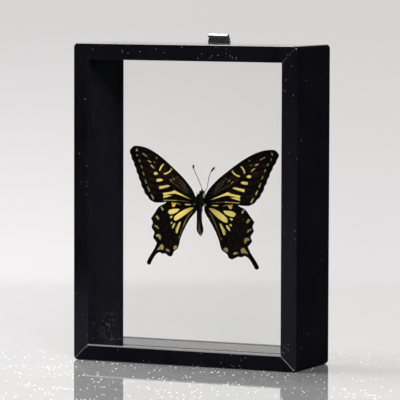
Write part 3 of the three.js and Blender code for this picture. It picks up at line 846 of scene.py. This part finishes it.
HINDWING_VEINS = [
    [(3.5, 87.2), (12.0, 87.9), (20.0, 85.6), (27.6, 82.3)],
    [(4.0, 86.0), (9.0, 85.5), (13.0, 84.9), (17.0, 84.6), (22.0, 82.5), (27.0, 80.0), (30.6, 78.0)],
    [(9.0, 85.3), (13.0, 83.0), (16.4, 80.5), (20.0, 79.9), (24.0, 77.5), (30.2, 73.2)],
    [(16.4, 80.5), (16.7, 78.6), (16.2, 77.0), (13.0, 77.4), (8.0, 80.8), (4.0, 84.2)],
    [(16.7, 78.4), (19.0, 77.4), (23.0, 73.5), (29.2, 67.5)],
    [(16.2, 77.0), (17.8, 74.6), (21.5, 69.0), (25.0, 64.6), (28.3, 60.0), (32.8, 53.2)],
    [(14.6, 77.0), (16.0, 73.0), (19.0, 66.5), (22.4, 59.0)],
    [(12.2, 77.9), (13.9, 74.0), (15.6, 68.0), (18.4, 57.8)],
    [(4.0, 84.2), (8.0, 80.0), (11.0, 74.8), (12.6, 69.5), (13.4, 62.8)],
]


def distance_to_line(points, line):
    """Distance of each point from a chain of straight stretches."""
    nearest = np.full(len(points), 1000.0)
    for start, end in zip(line, line[1:]):
        run = np.subtract(end, start)
        share = np.clip((points - start) @ run / (run @ run), 0, 1)
        apart = points - start - share[:, None] * run
        nearest = np.minimum(nearest, np.hypot(apart[:, 0], apart[:, 1]))
    return nearest


def depth_in_patch(points, outline):
    """How far each point lies inside a closed outline, negative outside it."""
    closed = [*outline, outline[0]]
    inside = np.zeros(len(points), bool)
    for (x0, z0), (x1, z1) in zip(closed, closed[1:]):
        if z0 == z1:
            continue
        spans = (z0 > points[:, 1]) != (z1 > points[:, 1])
        inside ^= spans & (points[:, 0] < x0 + (x1 - x0) * (points[:, 1] - z0) / (z1 - z0))
    apart = distance_to_line(points, closed)
    return np.where(inside, apart, -apart)


def depth_in_markings(points, patches=(), strokes=()):
    """The depth in whichever marking holds a point deepest."""
    deepest = np.full(len(points), -3.0)
    for outline in patches:
        deepest = np.maximum(deepest, depth_in_patch(points, outline))
    for width, line in strokes:
        deepest = np.maximum(deepest, width / 2 - distance_to_line(points, line))
    return deepest


def distance_to_veins(points, veins):
    lines = [smooth_line(vein, 5) for vein in veins]
    return np.min([distance_to_line(points, line) for line in lines], axis=0)


def smoothstep(value, low, high):
    t = np.clip((value - low) / (high - low), 0, 1)
    return t * t * (3 - 2 * t)


def droop(distance):
    return WING_DROOP * (np.maximum(distance, 0) / WING_SPAN) ** DROOP_POWER


def forewing_depth(points):
    above = np.maximum(0, points[:, 1] - FOREWING_HIND_EDGE - 0.35 * points[:, 0])
    return droop(points[:, 0]) - WING_LAYER + FOREWING_LEAN * above ** 2


def hindwing_depth(points):
    """The inner edge beside the abdomen curls forward; the root and the outer half don't."""
    below = smoothstep(HINDWING_SHOULDER - points[:, 1], 0, 8)
    inside = smoothstep(26 - points[:, 0], 0, 16)
    return droop(points[:, 0]) + WING_LAYER - HINDWING_CURL * below * inside


# ---- wings


def flat_wing(stretches):
    """The wing's outline as one face, cut into a fine lattice."""
    outline = []
    for stretch in stretches:
        outline += smooth_line(stretch, 8)[:-1]
    bm = bmesh.new()
    bm.faces.new([bm.verts.new((x, 0, z)) for x, z in outline])
    for axis in (Vector((1, 0, 0)), Vector((0, 0, 1))):
        reach = [axis.dot(vert.co) for vert in bm.verts]
        steps = int((max(reach) - min(reach)) / WING_STEP)
        for step in range(1, steps + 1):
            halve(bm, axis * (min(reach) + step * WING_STEP), axis, dist=1e-4)
    return bm


def thicken(bm):
    """Gives the flat wing a back and an edge, half its thickness to each side."""
    push_out(bm, bm.faces[:], (0, WING_THICKNESS, 0))
    bmesh.ops.translate(bm, vec=(0, -WING_THICKNESS / 2, 0), verts=bm.verts)


MARKING_KINDS = ("streak", "dull", "pale", "amber", "rust", "eye")


def make_wing(name, stretches, veins, depth, markings, scales):
    """Makes the right wing, and the left one as its mirror image."""
    outline = [point for stretch in stretches for point in stretch[:-1]]
    for side, sign in SIDES.items():
        bm = flat_wing(stretches)
        thicken(bm)
        points = np.array([(vert.co.x, vert.co.z) for vert in bm.verts])
        slid = points - (sign * MARKING_SLIDE, 0)
        vein = distance_to_veins(slid, veins)
        bend = depth(points) + MEMBRANE_SAG * smoothstep(vein, 0, SAG_REACH)
        ridge = VEIN_RISE * (1 - smoothstep(vein, *VEIN_FLANK))
        for vert, back, rise in zip(bm.verts, bend, ridge):
            vert.co.y += back + math.copysign(rise, vert.co.y)
            vert.co.x *= sign * WING_STRETCH
        outward(bm)
        wing = add_insect_piece(f"{name}-{side}-scaled", bm, scales, f"{name}-{side}")
        set_attribute(wing, "vein", vein)
        set_attribute(wing, "rim", depth_in_patch(points, outline))
        for label in MARKING_KINDS:
            patches, strokes = markings.get(label, ((), ()))
            if strokes is HINDWING_FOLD_GLINTS and side == "left":
                strokes = ()
            set_attribute(wing, label, depth_in_markings(slid, patches, strokes))


def make_wings():
    forewing_markings = {
        "pale": (FOREWING_PALE_PATCHES, FOREWING_PALE_STROKES),
        "dull": ((), FOREWING_DULL_STROKES),
        "streak": ((), FOREWING_STREAKS),
    }
    hindwing_markings = {
        "pale": (HINDWING_PALE_PATCHES, ()),
        "dull": (HINDWING_DULL_PATCHES, HINDWING_DULL_STROKES),
        "amber": (HINDWING_AMBER_PATCHES, ()),
        "rust": ((), HINDWING_RUST),
        "eye": ((), HINDWING_EYES),
        # the hindwings' streak layer holds painted fold glints
        "streak": ((), HINDWING_FOLD_GLINTS),
    }
    fore_scales = wing_scales("forewing scales", 0.9, CELL_STREAK, 0.85)
    hind_scales = wing_scales("hindwing scales", 0.4, FOLD_GLINT, 0.66)
    make_wing("forewing", FOREWING, FOREWING_VEINS, forewing_depth, forewing_markings,
              fore_scales)
    make_wing("hindwing", HINDWING, HINDWING_VEINS, hindwing_depth, hindwing_markings,
              hind_scales)


# ---- body

ABDOMEN_ROOT = 86.6
ABDOMEN_TIP = 69.4
ABDOMEN = [(0.1, 86.5), (1.0, 86.2), (1.40, 85.0), (1.48, 83.0), (1.46, 80.0), (1.52, 77.0),
           (1.85, 74.2), (1.85, 72.5), (1.30, 71.0), (0.62, 69.9), (0.12, 69.3)]
ABDOMEN_RINGS = 9
RING_NECK = 0.09               # share of its radius that the abdomen loses between rings


def way_down(height):
    """0 at the abdomen's root, 1 at its tip."""
    return (ABDOMEN_ROOT - height) / (ABDOMEN_ROOT - ABDOMEN_TIP)


def abdomen_middle(height):
    """The abdomen bends a little to one side on its way down."""
    t = way_down(height)
    x = -0.62 - 0.55 * t + 1.33 * t * t
    y = THORAX[1] + 0.1 - 0.6 * math.sin(math.pi * t)
    return Vector((x, y, height))


def add_abdomen(bm):
    side = smooth_line(ABDOMEN, 8)
    line = []
    radii = []
    for radius, height in side:
        phase = way_down(height) * ABDOMEN_RINGS % 1
        line.append(abdomen_middle(height))
        radii.append(max(0.05, radius * (1 - RING_NECK * (2 * phase - 1) ** 4)))
    tube(bm, line, radii, 24)


def make_trunk(shell):
    bm = bmesh.new()
    ball(bm, THORAX, THORAX_RADII, 4)
    add_abdomen(bm)
    ball(bm, HEAD, (1.4, 1.25, 1.2), 4)
    outward(bm)
    flank = []
    for vert in bm.verts:
        middle = abdomen_middle(vert.co.z).x
        down = way_down(vert.co.z)
        across = abs((vert.co.x - middle) / 1.6 - 0.25 - 0.4 * max(0, 0.6 - down))
        flank.append(0.7 * float(smoothstep(down, 0.35, 0.85)) - 1.9 * across + 0.1)
    trunk = add_insect_piece("trunk", bm, shell, "body")
    set_attribute(trunk, "flank", flank)


def hair_direction(normal, droop_share):
    """Hair lies back towards the tail."""
    return (normal + Vector((0, 0, -droop_share))).normalized()


def add_hair(bm, root, direction, length, thickness):
    turn = direction.to_track_quat("Z", "Y").to_matrix().to_4x4()
    place = Matrix.Translation(root + direction * (length / 2 - 0.1)) @ turn
    bmesh.ops.create_cone(
        bm, segments=3, radius1=thickness, radius2=0.012, depth=length, cap_ends=True, matrix=place
    )


def thorax_paleness(place, draw):
    """Black down the middle, with a greyer flank on each side."""
    across = place.x - THORAX[0]
    if across < -1.3:
        share = 0.03
    elif across < 1.0:
        share = -0.01
    else:
        share = 0.015
    return max(0.0, share + draw.uniform(-0.02, 0.02))


def wobble(draw, reach):
    return Vector([draw.uniform(-reach, reach) for _ in range(3)])


def make_hair(coat):
    """Short hair on the thorax and the head, with tufts beside them and at the wing roots."""
    draw = random.Random(11)
    bm = bmesh.new()
    paleness = []

    def grow(root, direction, length, shade):
        before = len(bm.verts)
        add_hair(bm, root, direction, length, draw.uniform(0.04, 0.07))
        paleness.extend([shade] * (len(bm.verts) - before))

    def coat_ball(centre, radii, count, length, droop_share, shade_at):
        for _ in range(count):
            normal = Vector([draw.gauss(0, 1) for _ in range(3)]).normalized()
            root = Vector(centre) + Vector([n * r for n, r in zip(normal, radii)])
            direction = hair_direction(normal + wobble(draw, 0.3), droop_share)
            grow(root, direction, length * draw.uniform(0.6, 1.2), shade_at(root))

    def tuft(place, run, count):
        for _ in range(count):
            root = Vector(place) + wobble(draw, 0.4)
            direction = (Vector(run) + wobble(draw, 0.25)).normalized()
            grow(root, direction, draw.uniform(1.3, 2.4), draw.uniform(0.5, 1.0))

    coat_ball(THORAX, THORAX_RADII, 1300, 0.75, 1.3, lambda p: thorax_paleness(p, draw))
    coat_ball(HEAD, (1.35, 1.2, 1.15), 320, 0.6, 0.2, lambda p: draw.uniform(0, 0.006))
    tuft((-2.0, 0.8, 91.8), (-0.35, 0, 0.95), 60)
    tuft((1.4, 0.9, 91.6), (0.6, 0, 0.8), 45)
    coat_ball((0.6, 0.2, 84.2), (0.6, 0.9, 1.0), 90, 0.9, 1.0, lambda p: draw.uniform(0.02, 0.10))
    coat_ball((-3.9, 0.0, 86.9), (0.45, 0.3, 0.45), 40, 0.5, 0.4, lambda p: draw.uniform(0.1, 0.25))
    coat_ball((3.0, 0.0, 86.7), (0.5, 0.3, 0.5), 50, 0.5, 0.4, lambda p: draw.uniform(0.25, 0.5))
    hair = add_insect_piece("hair", bm, coat)
    set_attribute(hair, "paleness", paleness)


LEFT_FEELER = [(-0.2, 1.3, 94.0), (0.3, 1.3, 95.3), (-1.5, 1.6, 99.3), (-3.5, 2.0, 102.9),
               (-5.2, 2.4, 106.0), (-5.6, 2.6, 108.3)]
RIGHT_FEELER = [(1.2, 1.3, 93.6), (2.6, 1.3, 94.7), (3.5, 1.4, 96.8), (4.1, 1.7, 100.6),
                (4.5, 1.9, 102.5), (5.1, 2.1, 104.2), (5.8, 2.3, 105.4), (7.5, 2.6, 107.4)]
FEELER_RINGS = 60


def add_feeler(bm, route):
    """Ringed shaft that swells into a blunt club."""
    dense = smooth_line(route, 40)
    line = [dense[round(i * (len(dense) - 1) / FEELER_RINGS)] for i in range(FEELER_RINGS + 1)]
    radii = []
    for i in range(FEELER_RINGS + 1):
        t = i / FEELER_RINGS
        club = 0.36 * float(smoothstep(t, 0.78, 0.88)) * (1 - float(smoothstep(t, 0.96, 1.0)))
        ring = 0.012 if i % 2 else -0.012
        radii.append(0.17 + club + ring if t < 1 else 0.1)
    tube(bm, line, radii, 8)


# Joints of the folded legs on one side: distance from the body's middle, place behind
# the wings, height above the frame's bottom.
LEGS = [
    [(1.2, 2.3, 91.0), (2.1, 3.8, 91.6), (2.1, 4.5, 88.8), (2.2, 4.7, 86.0)],
    [(1.9, 2.0, 89.0), (3.0, 3.8, 89.2), (2.9, 4.8, 86.7), (3.0, 4.9, 84.0)],
    [(1.2, 2.2, 86.4), (1.9, 3.6, 86.0), (1.4, 4.4, 84.4), (1.4, 4.5, 82.8)],
]
LEG_RADII = [0.34, 0.27, 0.2, 0.14]


def add_leg(bm, joints, side):
    placed = [Vector((THORAX[0] + side * x, y, z)) for x, y, z in joints]
    for i in range(3):
        start, end = placed[i], placed[i + 1]
        line = [start.lerp(end, share) for share in (0, 0.15, 0.5, 0.85, 1)]
        swell = [1.0, 1.12, 1.0, 0.85, 0.8]
        tube(bm, line, [LEG_RADII[i] * size for size in swell], 8)
        ball(bm, end, [LEG_RADII[i + 1] * 1.1] * 3, 2)
    claw = placed[3] + Vector((0, 0.15, -0.45))
    tube(bm, [placed[3], claw], [LEG_RADII[3], 0.04], 6)


TONGUE_STEPS = 30


def add_tongue(bm):
    """Coil behind the head that tightens and thins towards its end."""
    coil = []
    for i in range(TONGUE_STEPS):
        turn = i * math.pi / 8
        reach = 0.55 * (1 - turn / 16)
        y = HEAD[1] + 1.35 + reach * math.cos(turn)
        z = HEAD[2] - 0.2 + reach * math.sin(turn)
        coil.append((HEAD[0], y, z))
    tube(bm, coil, [0.15 - 0.003 * i for i in range(TONGUE_STEPS)], 8)


def make_limbs(limb, eye):
    bm = bmesh.new()
    add_feeler(bm, LEFT_FEELER)
    add_feeler(bm, RIGHT_FEELER)
    outward(bm)
    add_insect_piece("feelers", bm, limb)

    bm = bmesh.new()
    for side in (-1, 1):
        for joints in LEGS:
            add_leg(bm, joints, side)
    add_tongue(bm)
    for side in (-1, 1):
        ball(bm, (HEAD[0] + 0.4 * side, HEAD[1] + 0.35, HEAD[2] + 1.1), (0.32, 0.38, 0.9), 3)
    outward(bm)
    add_insect_piece("legs-and-tongue", bm, limb)

    bm = bmesh.new()
    for side in (-1, 1):
        ball(bm, (HEAD[0] + side, HEAD[1] + 0.1, HEAD[2] + 0.25), (0.75, 0.75, 0.75), 4)
    add_insect_piece("eyes", bm, eye)


def make_post(acrylic):
    """Clear rod from the back of the thorax to the back pane, with rounded rims."""
    start, end = 2.6, BACK_PANE_MIDDLE - GLASS_THICKNESS / 2 - 0.3
    bm = bmesh.new()
    places = [start, start + 0.1, start + 0.3, end - 0.3, end - 0.1, end]
    radii = [1.0, 1.13, 1.2, 1.2, 1.13, 1.0]
    tube(bm, [(THORAX[0], y, 88.2) for y in places], radii, 32)
    outward(bm)
    add_insect_piece("clear-post", bm, acrylic, "post")


# ---- hanger

HANGER_FRONT = BACK + 0.3
HANGER_PLATE = 0.8
HANGER_BACK = HANGER_FRONT + HANGER_PLATE
HANGER_FOOT = 166.8
HANGER_TOP = 179.8
HANGER_WIDTH = 13.8
HANGER_TOP_WIDTH = 11.4
HANGER_CURL = 1.3
SCREW_HEIGHT = 170.8
SCREW_OFFSET = 3.8
SLOT_HALF_WIDTH = 0.4
SLOT_FLOOR = 0.55


def arc(centre, radius, start, end, steps):
    turns = [start + (end - start) * i / steps for i in range(steps + 1)]
    return [(centre[0] + radius * math.cos(turn), centre[1] + radius * math.sin(turn))
            for turn in turns]


def make_hanger(steel):
    """A plate up the top rail's back whose top edge rolls forward."""
    centre = (HANGER_BACK - HANGER_CURL, HANGER_TOP - HANGER_CURL)
    lip = 1.15 * math.pi
    section = [(HANGER_FRONT, HANGER_FOOT), (HANGER_BACK, HANGER_FOOT)]
    section += [(HANGER_BACK, height) for height in (172, FRAME_HEIGHT, 176.7)]
    section += arc(centre, HANGER_CURL, 0, lip, 14)
    section += arc(centre, HANGER_CURL - HANGER_PLATE, lip, 0, 14)
    section += [(HANGER_FRONT, height) for height in (176.7, FRAME_HEIGHT, 172)]
    bm = bmesh.new()
    face = bm.faces.new([bm.verts.new((-HANGER_WIDTH / 2, y, z)) for y, z in section])
    push_out(bm, [face], (HANGER_WIDTH, 0, 0))
    narrowing = (HANGER_WIDTH - HANGER_TOP_WIDTH) / 2 / (HANGER_TOP - FRAME_HEIGHT)
    for vert in bm.verts:
        above = max(0, vert.co.z - FRAME_HEIGHT)
        vert.co.x -= math.copysign(narrowing * above, vert.co.x)
    rims = [edge for edge in bm.edges if edge.calc_face_angle(0) > 1.0]
    round_edges(bm, rims, 0.12, 2)
    outward(bm)
    even_normals(add_piece("rolled-hanger", bm, steel, "hanger"))


def screw_mesh():
    """Round-headed screw along +Y with a straight slot. Its head's underside is at Y = 0."""
    profile = [(0.05, -6.0), (0.24, -5.9), (0.8, -4.4), (0.8, 0.0), (1.8, 0.0), (1.9, 0.08),
               (1.9, 0.25), (1.82, 0.45), (1.63, 0.62), (1.3, 0.79), (0.9, 0.92), (0.45, 0.98)]
    bm = bmesh.new()
    tube(bm, [(0, y, 0) for _, y in profile], [radius for radius, _ in profile], 32)
    for height in (-SLOT_HALF_WIDTH, SLOT_HALF_WIDTH):
        halve(bm, (0, 0, height), (0, 0, 1))
    middles = [(face, face.calc_center_median()) for face in bm.faces]
    floor = [face for face, middle in middles if middle.y > 0.3 and abs(middle.z) < SLOT_HALF_WIDTH]
    out = bmesh.ops.extrude_face_region(bm, geom=floor)
    sunk = [item for item in out["geom"] if isinstance(item, bmesh.types.BMVert)]
    for vert in sunk:
        vert.co.y = min(vert.co.y, SLOT_FLOOR)
    outward(bm)
    return bm


def make_screws(steel):
    for side, sign in SIDES.items():
        bm = screw_mesh()
        place = (sign * SCREW_OFFSET, HANGER_BACK + 0.3, SCREW_HEIGHT)
        bmesh.ops.translate(bm, vec=place, verts=bm.verts)
        node = f"hanger-screw-{side}"
        add_piece(f"slotted-{node}", bm, steel, node)


# ---- stage, lights and camera

CAMERA_PLACE = Vector((0.7762, -1.6485, 0.2245))
CAMERA_YAW = math.radians(25.23)
CAMERA_PITCH = math.radians(-4.247)
CAMERA_ROLL = math.radians(0.164)
CAMERA_LENS = 299.84

TABLE_BEHIND = 0.50            # how far the table runs on behind the frame
TABLE_BEFORE = 1.30
TABLE_HALF_WIDTH = 1.6
BACKDROP_BEHIND = 1.1
GLASS_LOSS_MADE_UP = 1.045
BACKDROP_HALF_WIDTH = 0.35


def make_camera():
    data = bpy.data.cameras.new("camera")
    data.lens = CAMERA_LENS
    data.sensor_width = 36
    data.clip_start = 0.05
    camera = bpy.data.objects.new("camera", data)
    bpy.context.collection.objects.link(camera)
    camera.location = CAMERA_PLACE
    turn = Matrix.Rotation(CAMERA_YAW, 4, "Z") @ Matrix.Rotation(math.pi / 2 + CAMERA_PITCH, 4, "X")
    camera.matrix_world = Matrix.Translation(CAMERA_PLACE) @ turn @ Matrix.Rotation(CAMERA_ROLL, 4, "Z")
    bpy.context.scene.camera = camera


def add_stage_plane(name, corners, material):
    bm = bmesh.new()
    bm.faces.new([bm.verts.new(corner) for corner in corners])
    mesh = bpy.data.meshes.new(name)
    bm.to_mesh(mesh)
    bm.free()
    mesh.materials.append(material)
    plane = bpy.data.objects.new(name, mesh)
    bpy.context.collection.objects.link(plane)
    plane.matrix_world = Matrix.Rotation(CAMERA_YAW, 4, "Z")


def beyond_mirror(tree):
    """1 for what is seen by reflection, 0 for what is looked at straight or through glass."""
    path = add_node(tree, "ShaderNodeLightPath")
    return maths(tree, "GREATER_THAN", path.outputs["Glossy Depth"], 0.5)


def table_dust(tree):
    """Grains on the table near the frame, drawn deeper than they are wide."""
    fine = use_group(tree, DUST, spacing=0.0020, size=0.27, cover=1.7, depth_share=0.2)
    coarse = use_group(tree, DUST, spacing=0.0042, size=0.13, cover=1.8, depth_share=0.2)
    beside = eased(tree, absolute(tree, axis_value(tree, "X")), 0.18, 0.11)
    before = absolute(tree, maths(tree, "ADD", axis_value(tree, "Y"), 0.07))
    near_frame = times(tree, beside, eased(tree, before, 0.17, 0.09))
    return times(tree, larger(tree, fine, coarse), near_frame)


def table_top():
    """Pale varnished top with dust. Its mirror image in the frame is brightest on the left."""
    material, tree, shader = new_material("pale table top", Specular_IOR_Level=0.5)
    worn = noise(tree, 60.0, detail=5.0)
    dust = table_dust(tree)
    pale = mixed(tree, eased(tree, worn, 0.3, 0.7), grey(0.42), grey(0.455))
    dusty = mixed(tree, dust, pale, grey(0.9))
    across = axis_value(tree, "X")
    pool = times(tree, eased(tree, across, 0.1, -0.12), eased(tree, across, -0.9, -0.1))
    image = mixed(tree, pool, grey(0.01), grey(0.04))
    colour = mixed(tree, beyond_mirror(tree), dusty, image)
    varnish = maths(tree, "SUBTRACT", 1.0, times(tree, dust, 0.8))
    solid = eased(tree, axis_value(tree, "Y"), TABLE_BEHIND, TABLE_BEHIND - 0.12)
    wire(tree, shader, Base_Color=colour, Roughness=between(tree, worn, 0.02, 0.045))
    wire(tree, shader, Coat_Weight=varnish, Alpha=solid)
    return material


BACKDROP_TOP_RIGHT = (0.665, 0.657, 0.64, 1)
BACKDROP_TOP_LEFT = (0.68, 0.667, 0.665, 1)
BACKDROP_LOW_RIGHT = (0.774, 0.759, 0.766, 1)
BACKDROP_LOW_LEFT = (0.905, 0.887, 0.896, 1)


def backdrop_paper():
    """Softly lit paper: brightest low on the left, dimmer towards the top and the right.

    Its mirror image is brighter beside the frame and above it.
    """
    material = bpy.data.materials.new("backdrop paper")
    material.use_nodes = True
    tree = material.node_tree
    tree.nodes.clear()
    height = {"Value": axis_value(tree, "Z"), "From Min": 0.16, "From Max": -0.04}
    low = add_node(tree, "ShaderNodeMapRange", height).outputs["Result"]
    left = eased(tree, axis_value(tree, "X"), 0.16, -0.16)
    top = mixed(tree, left, BACKDROP_TOP_RIGHT, BACKDROP_TOP_LEFT)
    bottom = mixed(tree, left, BACKDROP_LOW_RIGHT, BACKDROP_LOW_LEFT)
    colour = mixed(tree, low, top, bottom)
    path = add_node(tree, "ShaderNodeLightPath")
    through_glass = maths(tree, "GREATER_THAN", path.outputs["Transmission Depth"], 0.5)
    behind_panes = between(tree, through_glass, 1.0, GLASS_LOSS_MADE_UP)
    beside = eased(tree, absolute(tree, axis_value(tree, "X")), 0.05, 0.09)
    above = eased(tree, axis_value(tree, "Z"), 0.18, 0.20)
    image = larger(tree, between(tree, beside, 1.0, 1.07), between(tree, above, 1.0, 1.4))
    mirrored = between(tree, beyond_mirror(tree), 1.0, image)
    strength = times(tree, behind_panes, mirrored)
    glow = add_node(tree, "ShaderNodeEmission", {"Color": colour, "Strength": strength})
    leaving = tree.nodes.new("ShaderNodeOutputMaterial")
    tree.links.new(glow.outputs[0], leaving.inputs["Surface"])
    return material


def make_stage():
    near_edge, far_edge, side = -TABLE_BEFORE, TABLE_BEHIND, TABLE_HALF_WIDTH
    corners = [(-side, near_edge, 0), (side, near_edge, 0), (side, far_edge, 0), (-side, far_edge, 0)]
    add_stage_plane("table", corners, table_top())
    y = BACKDROP_BEHIND
    side = BACKDROP_HALF_WIDTH
    corners = [(-side, y, -0.5), (side, y, -0.5), (side, y, 0.9), (-side, y, 0.9)]
    add_stage_plane("backdrop", corners, backdrop_paper())


def add_softbox(name, place, target, size, watts):
    data = bpy.data.lights.new(name, "AREA")
    data.shape = "RECTANGLE"
    data.size, data.size_y = size
    data.energy = watts
    lamp = bpy.data.objects.new(name, data)
    bpy.context.collection.objects.link(lamp)
    lamp.location = place
    lamp.rotation_euler = (Vector(target) - Vector(place)).to_track_quat("-Z", "Y").to_euler()


def make_lights():
    add_softbox("front softbox", (0.75, -1.05, 0.95), (0, 0, 0.09), (0.5, 0.5), 30)
    add_softbox("top softbox", (-0.42, -0.05, 1.0), (0, 0, 0.05), (0.6, 0.6), 20)
    add_softbox("left softbox", (-0.97, -0.28, 0.52), (0, 0, 0.05), (0.3, 0.3), 2.5)


def make_world():
    """Pale surroundings to look at, dim ones to be lit and reflected by."""
    world = bpy.data.worlds.new("studio")
    bpy.context.scene.world = world
    world.use_nodes = True
    tree = world.node_tree
    tree.nodes.clear()
    path = add_node(tree, "ShaderNodeLightPath")
    bounces = maths(tree, "ADD", path.outputs["Glossy Depth"], path.outputs["Diffuse Depth"])
    looked_at = maths(tree, "LESS_THAN", bounces, 0.5)
    colour = mixed(tree, looked_at, (0.014, 0.015, 0.020, 1), (0.74, 0.735, 0.73, 1))
    light = add_node(tree, "ShaderNodeBackground", {"Color": colour})
    leaving = tree.nodes.new("ShaderNodeOutputWorld")
    tree.links.new(light.outputs[0], leaving.inputs["Surface"])


# ---- the specimen

bpy.context.scene.view_settings.view_transform = "Standard"
make_camera()
make_world()
make_stage()
make_lights()

make_rails(lacquered_wood())
make_panes(clear_glass())
make_wings()
make_trunk(body_shell())
make_hair(hair_coat())
make_limbs(dark_limb(), compound_eye())
make_post(clear_acrylic())
steel = plated_steel()
make_hanger(steel)
make_screws(steel)
